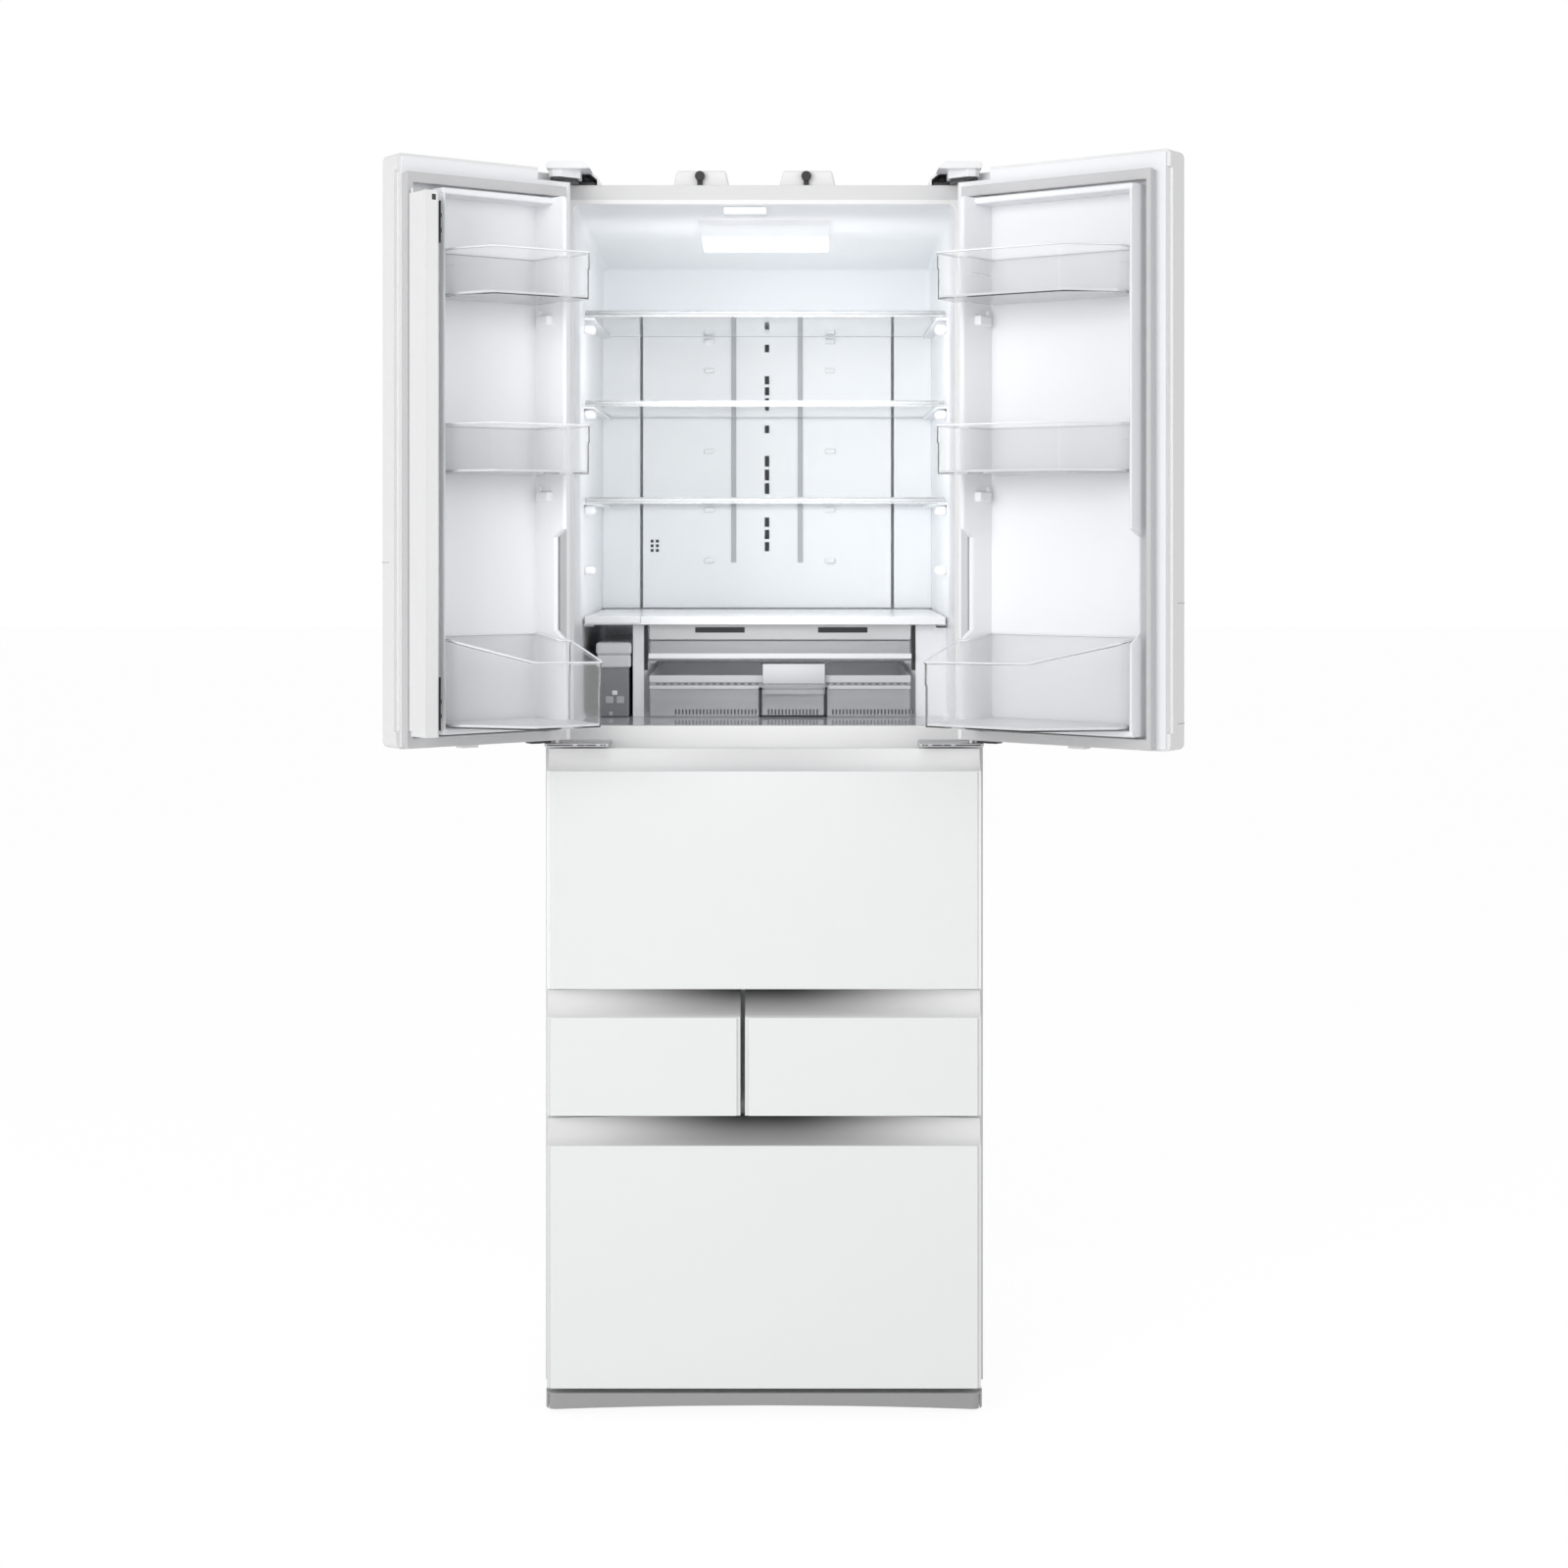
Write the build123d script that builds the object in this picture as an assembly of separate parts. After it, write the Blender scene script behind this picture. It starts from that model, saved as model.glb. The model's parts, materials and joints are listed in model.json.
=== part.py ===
from build123d import *
import os

# French door refrigerator: two hinged doors over a row of pull-out drawers.
# Millimetres, +X right, +Y back, +Z up, origin on the floor under the middle of the closed cabinet.
# The doors stand open and the drawers are shut, as the object was seen.

# Overall size
WIDTH = 650.0
DEPTH = 699.0
TOP = 1833.0
CABINET_TOP = 1807.0
HALF = WIDTH / 2
FRONT = -DEPTH / 2
BACK = DEPTH / 2

# Cabinet walls
FLANGE_Y = FRONT + 66.0
SHELL_T = 1.0
LINER_T = 1.5
BACK_T = 3.0
BASE_Z = 31.0
CAVITY_HALF = 283.0
CAVITY_BACK = 290.0
FRIDGE_FLOOR = 1003.0
CEILING_FRONT = 1778.0
CEILING_BACK = 1747.0
LOWER_FLOOR = 62.0
LOWER_CEILING = 958.0
PARTITION_Z = (604.0, 640.0)
CROSSBAR_Z = (416.0, 454.0)
POST_X = (-52.0, -10.0)
BAR_DEPTH = 60.0

# Machine room in the lower back corner
MACHINE_FRONT = 135.0
MACHINE_TOP = 250.0
MACHINE_HALF = 308.0
MACHINE_WALL = 50.0
MACHINE_ROOF = 40.0
VENT_COLUMNS = 5
VENT_ROWS = 8
VENT_SIZE = (80.0, 8.0)
VENT_PITCH = (105.0, 20.0)
COMPRESSOR_XY = (-160.0, 240.0)
COMPRESSOR_R = 72.0
COMPRESSOR_H = 120.0
COMPRESSOR_ROUND = 30.0
COMPRESSOR_LEG = 60.0
COMPRESSOR_LIFT = 13.0
RUBBER_R = 12.0
RAIL_HALF = 14.0
PIPE_STUB = (5.0, 40.0)
CONDENSER_X = (0.0, 200.0)
CONDENSER_Y = (170.0, 310.0)
CONDENSER_TOP = 190.0
BOARD_X = 238.0
BOARD_T = 3.0
BOARD_Y = (160.0, 320.0)
BOARD_Z = (60.0, 220.0)
BOARD_PART = (40.0, 36.0)

# Base, feet, rollers and kick plate
PAN_INSET = 3.0
PAN_FRONT = FLANGE_Y + 8.0
PAN_BACK = BACK - 4.0
FOOT_X = 300.0
FOOT_Y = -255.0
FOOT_R = 22.0
STUD_R = 6.0
ROLLER_X = 250.0
ROLLER_Y = 300.0
ROLLER_R = 14.0
ROLLER_W = 24.0
AXLE_R = 5.0
PLAY = 0.06
KICK_HALF = 320.0
KICK_Y = (FRONT + 9.0, FLANGE_Y - 4.0)
KICK_Z = (7.0, 31.0)
KICK_WALL = 4.0
KICK_ARCH = 6.0
KICK_TONGUE_X = (170.0, 210.0)

# Doors, with distances a from the pin towards the free edge and b from the pin towards the back
PIN_X = 305.0
PIN_Y = FRONT + 26.0
PIN_R = 5.0
PIN_DEPTH = 20.0
DOOR_HALF = 317.0
DOOR_Z = (986.5, 1821.0)
DOOR_BACK = FRONT + 45.0
GLASS_T = 3.2
GLASS_MARGIN = 1.2
SPLIT = (-34.7, -27.8)
SWING = 144.0
SKIN_T = 3.0
SEAL_GAP = 0.3
SEAL_W = 12.0
DOOR_SEAL_Z = (988.5, 1793.0)
GROOVE = (5.0, 7.0)
HINGE_RECESS = (43.0, 17.5)
RECESS_WALL = 3.0
RIDGE_Z = (1007.0, 1772.0)
RIDGE_STEP_Z = (1150.0, 1295.0)
RIDGE_HIGH = 85.0
RIDGE_LOW = 60.0
RIDGE_SLIM = 32.0
RIDGE_W = 10.0
RIDGE_BAR = 9.5
RIDGE_BAR_START = 40.0
HINGE_RIDGE_A = (26.0, 30.0, 36.0, 48.0)
LEFT_INNER = 211.0
RIGHT_INNER = 287.0
LEFT_CORNERS = (181.0, 137.0)
RIGHT_CORNERS = (229.0, 192.0)
POCKET_HINGE_A = (32.0, 50.0)
POCKET_BACK = 24.0
POCKET_SIDE = 80.0
POCKET_FRONT = 148.0
POCKET_BEND = 8.0
POCKET_WALL = 2.2
TOP_POCKET_Z = (1619.0, 1686.0)
MIDDLE_POCKET_Z = (1372.0, 1442.0)
BOTTOM_POCKET_Z = (1017.0, 1145.0)
BOTTOM_POCKET_FRONT = 180.0
BOTTOM_RIM_FALL = 42.0

# Mullion flap on the left door, with its hinge edge rounded about its pins
FLAP_AXIS = (258.0, 44.1)
FLAP_ROUND = 4.1
FLAP_END = 305.0
FLAP_T = 23.0
FLAP_Z = (1007.0, 1761.0)
FLAP_NOTCH = (13.0, 7.0)
FLAP_PIN_R = 1.8
FLAP_PIN_LENGTH = 8.0
FLAP_PIN_ROOT = 20.0
FLAP_PLAY = 0.12
EAR_A = (242.0, 252.5, 264.0)
EAR_B = (40.2, 49.5)
EAR_T = 5.0
LEFT_SEAL_RUN = (253.5, 264.0)
RIGHT_SEAL_RUN = (305.3, 313.3)

# Hinges and the parts on the cabinet top
ARM_Z = (CABINET_TOP, CABINET_TOP + 4.5)
HINGE_FOOT_X = (252.0, 312.0)
HINGE_FOOT_BACK = -205.0
LOWER_PLATE_X = (228.0, 322.0)
LOWER_PLATE_Z = (976.0, 981.0)
LOWER_FLANGE_Z = (973.5, 982.5)
COVER_X = (246.0, 319.0)
COVER_T = 3.0
COVER_SLOPE = (20.0, 17.0)
COVER_GAP = 2.0
ANCHOR_W = 85.0
ANCHOR_Y = (-262.0, -196.0)
ANCHOR_X = (-137.0, 22.0)
ANCHOR_STUD_Z = 1823.0
ANCHOR_STUD_R = 7.4

# Drawer fronts, each as glass bottom, glass top and handle top
VEGETABLE_Z = (623.5, 941.5, 972.0)
SMALL_Z = (438.5, 582.0, 618.5)
LOWER_Z = (40.5, 395.0, 430.5)
DRAWER_GLASS_INSET = 5.0
VEGETABLE_SEAL_Z = (626.0, 638.0, 960.5, 970.0)
SMALL_SEAL_Z = (441.0, 452.0, 606.0, 616.5)
LOWER_SEAL_Z = (44.0, 56.0, 418.0, 428.5)
WIDE_GRIP_BACK = -318.0
DEEP_GRIP_BACK = -311.0

# Bins and rails
BIN_WALL = 2.5
BIN_HALF = 262.0
BIN_FRONT = DOOR_BACK + 2.0
VEGETABLE_BIN = (200.0, (655.0, 930.0))
SMALL_BIN = (150.0, (462.0, 590.0))
LOWER_BIN = (70.0, (75.0, 400.0))
WIDE_RAIL_Z = 700.0
LOWER_RAIL_Z = 250.0
RAIL_H = 14.0
RAIL_FRONT = -262.0
LEDGE_Z = (572.0, 576.0)
LEDGE_BACK = 170.0
POST_GAP = 6.0
WALL_RIM = 14.0
POST_RIM = 4.6

# Fridge compartment
SHELF_TOPS = (1632.0, 1493.0, 1343.0)
SHELF_T = 5.0
SHELF_FRONT = FRONT + 205.0
SHELF_BACK = 255.0
SHELF_HALF = 279.0
TRIM_H = 14.0
TRIM_D = 12.0
LEDGE_W = 16.0
LEDGE_T = 4.5
LEDGE_Y = (-110.0, 240.0)
COVER_Z = (1148.0, 1160.0)
STRIP_Z = 1124.0
SLOT_X = (-109.0, 82.0)
SLOT_SIZE = (77.0, 7.0)
CASE_X = (-180.0, 226.0)
CASE_Y = (-128.0, 240.0)
CASE_WALL = 2.0
UPPER_CASE_Z = (1091.5, 1122.0)
LOWER_CASE_Z = (1003.5, 1069.0)
CASE_GRIP_X = (-4.0, 93.0)
CASE_GRIP_Z = (1040.0, 1089.0)
LEFT_WALL_X = (-206.5, -189.0)
RIGHT_WALL_X = (234.0, CAVITY_HALF)
WALL_Y = (-118.0, 250.0)
TANK_X = (-259.0, -212.0)
TANK_Y = (-126.0, 225.0)
TANK_Z = (1003.5, 1080.0)
LID_OVERHANG = 4.0
LID_TOP = 1120.0
DUCT_HALF = 213.0
DUCT_Y = 262.0
DUCT_Z = (1162.0, 1660.0)
DUCT_T = 3.0
DUCT_RIB_X = (53.0, 61.0)
DUCT_RIB_Z = (1240.0, 1659.0)
OUTLET_W = 8.0
OUTLET_GAP = 5.0
OUTLET_GROUPS = ((1560.0, 19.0), (1423.0, 23.5), (1317.0, 21.0))
SINGLE_OUTLETS = (1654.0, 1614.0, 1475.0)
SINGLE_H = 13.0
SIDE_VENT = 5.0
SIDE_VENT_START = (-200.0, 1258.0)
SIDE_VENT_PITCH = (9.0, 8.0)
LAMP_Y = (-164.0, 84.0)
LAMP_HALF = 101.0
LAMP_T = 7.0
GUIDE_X = (-61.0, 3.0)
GUIDE_Y = (FLANGE_Y + 12.5, FLANGE_Y + 46.0)

# Freezer air duct and fan
AIR_DUCT_Y = (180.0, 186.0)
AIR_DUCT_HALF = 270.0
AIR_SLOT_W = 40.0
INLET_Z = (320.0, 330.0)
OUTLET_Z = (500.0, 512.0)
EVAPORATOR_HALF = 225.0
EVAPORATOR_Y = (215.0, 278.0)
EVAPORATOR_TOP = 455.0
FAN_Z = 535.0
FAN_R = 52.0
FAN_Y = 196.0
FAN_HUB = (16.0, 18.0)
FAN_SHAFT_R = 3.0
FAN_BLADES = 5
BLADE_TILT = 35.0
BLADE_T = 2.4
BLADE_W = 28.0
MOTOR = (22.0, 30.0)

os.makedirs("parts", exist_ok=True)


def block(x, y, z):
    """Box between the given limits along each axis."""
    spans = [sorted(limits) for limits in (x, y, z)]
    middle = [(low + high) / 2 for low, high in spans]
    return Pos(*middle) * Box(*[high - low for low, high in spans])


def along_x(outline, x):
    """Solid with a (Y, Z) outline, run between two X limits."""
    low, high = sorted(x)
    face = make_face(Polyline([(low, y, z) for y, z in outline], close=True))
    return extrude(face, high - low, dir=(1, 0, 0))


def along_y(outline, y):
    """Solid with an (X, Z) outline, run between two Y limits."""
    low, high = sorted(y)
    face = make_face(Polyline([(x, low, z) for x, z in outline], close=True))
    return extrude(face, high - low, dir=(0, 1, 0))


def along_z(outline, z):
    """Solid with an (X, Y) outline, run between two Z limits."""
    face = make_face(Polyline([(x, y, z[0]) for x, y in outline], close=True))
    return extrude(face, z[1] - z[0], dir=(0, 0, 1))


def rod(start, axis, radius, length):
    """Round bar from a start point along an axis."""
    lying = (Align.CENTER, Align.CENTER, Align.MIN)
    return Plane(origin=start, z_dir=axis) * Cylinder(radius, length, align=lying)


def tray(x, y, z, wall):
    """Open-topped box with even walls."""
    inside = block((x[0] + wall, x[1] - wall), (y[0] + wall, y[1] - wall), (z[0] + wall, z[1] + wall))
    return block(x, y, z) - inside


def seal(x, y, z, border):
    """Flat rectangular ring standing between two Y limits, with left, right, bottom and top widths."""
    left, right, bottom, top = border
    hole = block((x[0] + left, x[1] - right), (y[0] - 1, y[1] + 1), (z[0] + bottom, z[1] - top))
    return block(x, y, z) - hole


def fin_stack(x, y, z, count, tube_rows):
    """Heat exchanger: upright fins threaded on pairs of tubes."""
    fin_t = 2.0
    tube_r = 4.0
    tube_end = 8.0
    pitch = (x[1] - x[0]) / count
    fins = [block((x[0] + i * pitch, x[0] + i * pitch + fin_t), y, z) for i in range(count + 1)]
    tubes = []
    for row in range(tube_rows):
        height = z[0] + (z[1] - z[0]) * (row + 0.5) / tube_rows
        for share in (0.28, 0.72):
            start = (x[0] - tube_end, y[0] + (y[1] - y[0]) * share, height)
            tubes.append(rod(start, (1, 0, 0), tube_r, x[1] - x[0] + fin_t + 2 * tube_end))
    return Part() + fins + tubes


def save(name, shape):
    """Write one sub-part to its own file."""
    export_step(shape, os.path.join("parts", name + ".step"))


def ceiling(y):
    """Height of the fridge ceiling, which falls towards the back."""
    return CEILING_FRONT + (CEILING_BACK - CEILING_FRONT) * (y - FLANGE_Y) / (CAVITY_BACK - FLANGE_Y)


def fridge_outline(grow, front):
    """Side outline of the fridge cavity, grown by the liner where asked."""
    return [
        (front, FRIDGE_FLOOR - grow),
        (CAVITY_BACK + grow, FRIDGE_FLOOR - grow),
        (CAVITY_BACK + grow, CEILING_BACK + grow),
        (front, ceiling(front) + grow),
    ]


def lower_outline(grow, front):
    """Side outline of the drawer cavity, stepped over the machine room."""
    step_y = MACHINE_FRONT - MACHINE_WALL
    step_z = MACHINE_TOP + MACHINE_ROOF
    return [
        (front, LOWER_FLOOR - grow),
        (step_y + grow, LOWER_FLOOR - grow),
        (step_y + grow, step_z - grow),
        (CAVITY_BACK + grow, step_z - grow),
        (CAVITY_BACK + grow, LOWER_CEILING + grow),
        (front, LOWER_CEILING + grow),
    ]


def build_cabinet():
    grown = (-CAVITY_HALF - LINER_T, CAVITY_HALF + LINER_T)
    plain = (-CAVITY_HALF, CAVITY_HALF)
    ahead = FLANGE_Y - 5
    fridge_hole = along_x(fridge_outline(LINER_T, ahead), grown)
    lower_hole = along_x(lower_outline(LINER_T, ahead), grown)

    # Folded steel shell: sides, top and front flange
    shell_back = BACK - BACK_T
    inner = HALF - SHELL_T
    inner_top = CABINET_TOP - SHELL_T
    shell = block((-HALF, HALF), (FLANGE_Y, shell_back), (BASE_Z, CABINET_TOP))
    shell -= block((-inner, inner), (FLANGE_Y + SHELL_T, BACK), (0, inner_top))
    save("outer_shell", shell - fridge_hole - lower_hole)

    # Foam that fills the walls, with the machine room cut out of its lower back corner
    foam = block((-inner, inner), (FLANGE_Y + SHELL_T, shell_back), (BASE_Z, inner_top))
    foam -= block((-MACHINE_HALF, MACHINE_HALF), (MACHINE_FRONT, BACK), (0, MACHINE_TOP))
    save("insulation_foam", foam - fridge_hole - lower_hole)

    # Liners, with the ledges that carry the shelves and the chilled cases' cover
    fridge_skin = along_x(fridge_outline(LINER_T, FLANGE_Y), grown)
    fridge_skin -= along_x(fridge_outline(0, ahead), plain)
    for top in [top - SHELF_T for top in SHELF_TOPS] + [COVER_Z[0]]:
        for side in (-1, 1):
            ledge_x = (side * (CAVITY_HALF - LEDGE_W), side * (CAVITY_HALF + LINER_T / 3))
            fridge_skin += block(ledge_x, LEDGE_Y, (top - LEDGE_T, top))
    save("fridge_liner", fridge_skin)
    lower_skin = along_x(lower_outline(LINER_T, FLANGE_Y), grown)
    save("lower_liner", lower_skin - along_x(lower_outline(0, ahead), plain))

    # Insulated partition, front crossbar and post between the drawers
    bar_y = (FLANGE_Y, FLANGE_Y + BAR_DEPTH)
    partition = block(plain, (FLANGE_Y, CAVITY_BACK), PARTITION_Z)
    partition += block(plain, bar_y, CROSSBAR_Z)
    partition += block(POST_X, bar_y, (CROSSBAR_Z[1], PARTITION_Z[0]))
    save("partitions", partition)

    # Back plate with machine room vents
    plate = block((-HALF, HALF), (shell_back, BACK), (BASE_Z, CABINET_TOP))
    first_x = -(VENT_COLUMNS * VENT_PITCH[0] - VENT_PITCH[0] + VENT_SIZE[0]) / 2
    first_z = BASE_Z + 39
    for column in range(VENT_COLUMNS):
        for row in range(VENT_ROWS):
            x = first_x + column * VENT_PITCH[0]
            z = first_z + row * VENT_PITCH[1]
            plate -= block((x, x + VENT_SIZE[0]), (shell_back - 1, BACK + 1), (z, z + VENT_SIZE[1]))
    save("back_plate", plate)


def build_base():
    # Steel pan with side flanges, bosses for the feet and axles for the rollers
    pan_t = 2.0
    flange_h = 13.0
    boss = (14.0, 12.5)
    ear_t = 4.0
    ear_half = 9.0
    pan_half = HALF - PAN_INSET
    pan_under = BASE_Z - pan_t
    base = block((-pan_half, pan_half), (PAN_FRONT, PAN_BACK), (pan_under, BASE_Z))
    for side in (-1, 1):
        flange_x = (side * (pan_half - 3), side * pan_half)
        base += block(flange_x, (PAN_FRONT, PAN_BACK), (pan_under - flange_h, pan_under))
        boss_z = pan_under - boss[1] + 0.5
        base += rod((side * FOOT_X, FOOT_Y, boss_z), (0, 0, 1), *boss)
        base -= rod((side * FOOT_X, FOOT_Y, boss_z - 1), (0, 0, 1), STUD_R + PLAY, boss[1])
        inner_gap = ROLLER_W / 2 + 2
        for ear_x in (-inner_gap - ear_t, inner_gap):
            ear = (side * ROLLER_X + ear_x, side * ROLLER_X + ear_x + ear_t)
            ear_z = (ROLLER_R - AXLE_R - 2, pan_under + 0.5)
            base += block(ear, (ROLLER_Y - ear_half, ROLLER_Y + ear_half), ear_z)
        axle_start = (side * ROLLER_X - inner_gap - 2, ROLLER_Y, ROLLER_R)
        base += rod(axle_start, (1, 0, 0), AXLE_R, 2 * inner_gap + 4)
    save("base_frame", base)

    # Levelling feet
    pad_h = 7.0
    neck = (10.0, 6.0)
    for side, name in ((-1, "left_foot"), (1, "right_foot")):
        foot = rod((side * FOOT_X, FOOT_Y, 0), (0, 0, 1), FOOT_R, pad_h)
        foot += rod((side * FOOT_X, FOOT_Y, pad_h), (0, 0, 1), *neck)
        foot = chamfer(foot.edges().filter_by(GeomType.CIRCLE).group_by(Axis.Z)[1], 1.5)
        stud_start = (side * FOOT_X, FOOT_Y, pad_h + neck[1] - 1)
        save(name, foot + rod(stud_start, (0, 0, 1), STUD_R, 14))

    # Rear rollers on the pan's axles
    rollers = Part()
    for side in (-1, 1):
        start_x = side * ROLLER_X - ROLLER_W / 2
        roller = rod((start_x, ROLLER_Y, ROLLER_R), (1, 0, 0), ROLLER_R, ROLLER_W)
        bore_start = (start_x - 1, ROLLER_Y, ROLLER_R)
        rollers += roller - rod(bore_start, (1, 0, 0), AXLE_R + PLAY, ROLLER_W + 2)
    save("rear_rollers", rollers)

    # Kick plate: a shallow shell with rounded ends and an arched lower edge, on two tongues
    kick = block((-KICK_HALF, KICK_HALF), KICK_Y, KICK_Z)
    kick = fillet(kick.edges().filter_by(Axis.Z).group_by(Axis.Y)[0], 16)
    hollow_half = KICK_HALF - KICK_WALL
    kick -= block((-hollow_half, hollow_half), (KICK_Y[0] + KICK_WALL, KICK_Y[1] + 1), (0, KICK_Z[1] - 3))
    arch_radius = KICK_HALF * KICK_HALF / (2 * KICK_ARCH)
    arch_start = (0, KICK_Y[0] - 1, KICK_Z[0] + KICK_ARCH - arch_radius)
    kick -= rod(arch_start, (0, 1, 0), arch_radius, KICK_Y[1] - KICK_Y[0] + 2)
    for side in (-1, 1):
        tongue_x = [side * x for x in KICK_TONGUE_X]
        tongue_z = (KICK_Z[1] - 5, KICK_Z[1] - 2)
        kick += block(tongue_x, (KICK_Y[1] - 4, PAN_FRONT), tongue_z)
    save("kick_plate", kick)


def build_machine_room():
    # Compressor: a domed pot on two rails and four rubber feet, with its pipe stub
    x, y = COMPRESSOR_XY
    leg = COMPRESSOR_LEG
    rail_z = (BASE_Z + COMPRESSOR_LIFT + 3, BASE_Z + COMPRESSOR_LIFT + 9)
    pot = rod((x, y, BASE_Z + COMPRESSOR_LIFT), (0, 0, 1), COMPRESSOR_R, COMPRESSOR_H)
    pot = fillet(pot.edges().filter_by(GeomType.CIRCLE), COMPRESSOR_ROUND)
    for dx in (-leg, leg):
        for dy in (-leg, leg):
            pot += rod((x + dx, y + dy, BASE_Z), (0, 0, 1), RUBBER_R, rail_z[1] - BASE_Z)
        rail_y = (y - leg - RUBBER_R / 2, y + leg + RUBBER_R / 2)
        pot += block((x + dx - RAIL_HALF, x + dx + RAIL_HALF), rail_y, rail_z)
    pot += rod((x + COMPRESSOR_R - COMPRESSOR_ROUND, y, BASE_Z + COMPRESSOR_H), (0, 0, 1), *PIPE_STUB)
    save("compressor", pot)

    # Condenser, and the control board with its larger components and its foot
    save("condenser", fin_stack(CONDENSER_X, CONDENSER_Y, (BASE_Z, CONDENSER_TOP), 22, 4))
    face = BOARD_X + BOARD_T
    board = block((BOARD_X, face), BOARD_Y, BOARD_Z)
    for y, z, height in ((180, 80, 28), (240, 90, 20), (190, 150, 16), (260, 160, 34)):
        board += block((face, face + height), (y, y + BOARD_PART[0]), (z, z + BOARD_PART[1]))
    foot_y = (BOARD_Y[0] + 10, BOARD_Y[1] - 10)
    board += block((BOARD_X - 8, BOARD_X), foot_y, (BASE_Z, BOARD_Z[0] + 6))
    save("control_board", board)


def build_freezer_air():
    # Evaporator behind the freezer bins
    floor = MACHINE_TOP + MACHINE_ROOF
    fins_x = (-EVAPORATOR_HALF, EVAPORATOR_HALF)
    save("evaporator", fin_stack(fins_x, EVAPORATOR_Y, (floor, EVAPORATOR_TOP), 40, 5))

    # Duct cover with inlet and outlet slots, a round fan opening and the motor on its bracket
    through = (AIR_DUCT_Y[0] - 1, AIR_DUCT_Y[1] + 1)
    duct = block((-AIR_DUCT_HALF, AIR_DUCT_HALF), AIR_DUCT_Y, (floor, PARTITION_Z[0]))
    duct -= rod((0, through[0], FAN_Z), (0, 1, 0), FAN_R + 6, through[1] - through[0])
    for column in range(6):
        x = (2 * column - 5.5) * AIR_SLOT_W
        duct -= block((x, x + AIR_SLOT_W), through, INLET_Z)
        if abs(x + AIR_SLOT_W / 2) > FAN_R + AIR_SLOT_W:
            duct -= block((x, x + AIR_SLOT_W), through, OUTLET_Z)
    arm_x = (FAN_R + 20, FAN_R + 28)
    arm_z = (FAN_Z - 6, FAN_Z + 6)
    bridge_y = (FAN_Y + 38, FAN_Y + 44)
    for side in (-1, 1):
        arm = (side * arm_x[0], side * arm_x[1])
        duct += block(arm, (AIR_DUCT_Y[0] + 1, bridge_y[1]), arm_z)
    duct += block((-arm_x[1], arm_x[1]), bridge_y, arm_z)
    duct += rod((0, FAN_Y + 28, FAN_Z), (0, 1, 0), *MOTOR)
    duct += rod((0, FAN_Y + 6, FAN_Z), (0, 1, 0), FAN_SHAFT_R, MOTOR[1])
    save("freezer_duct_cover", duct)

    # Fan: a hub with tilted blades, bored for the motor shaft
    hub_r, hub_h = FAN_HUB
    fan = rod((0, FAN_Y, FAN_Z), (0, 1, 0), hub_r, hub_h)
    for blade in range(FAN_BLADES):
        paddle = block((hub_r - 6, FAN_R), (-BLADE_T / 2, BLADE_T / 2), (-BLADE_W / 2, BLADE_W / 2))
        paddle = paddle.rotate(Axis.X, BLADE_TILT)
        paddle = paddle.rotate(Axis.Y, blade * 360 / FAN_BLADES)
        fan += Pos(0, FAN_Y + hub_h / 2, FAN_Z) * paddle
    bore_start = (0, FAN_Y + 5.9, FAN_Z)
    save("freezer_fan", fan - rod(bore_start, (0, 1, 0), FAN_SHAFT_R + PLAY, hub_h))


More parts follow.
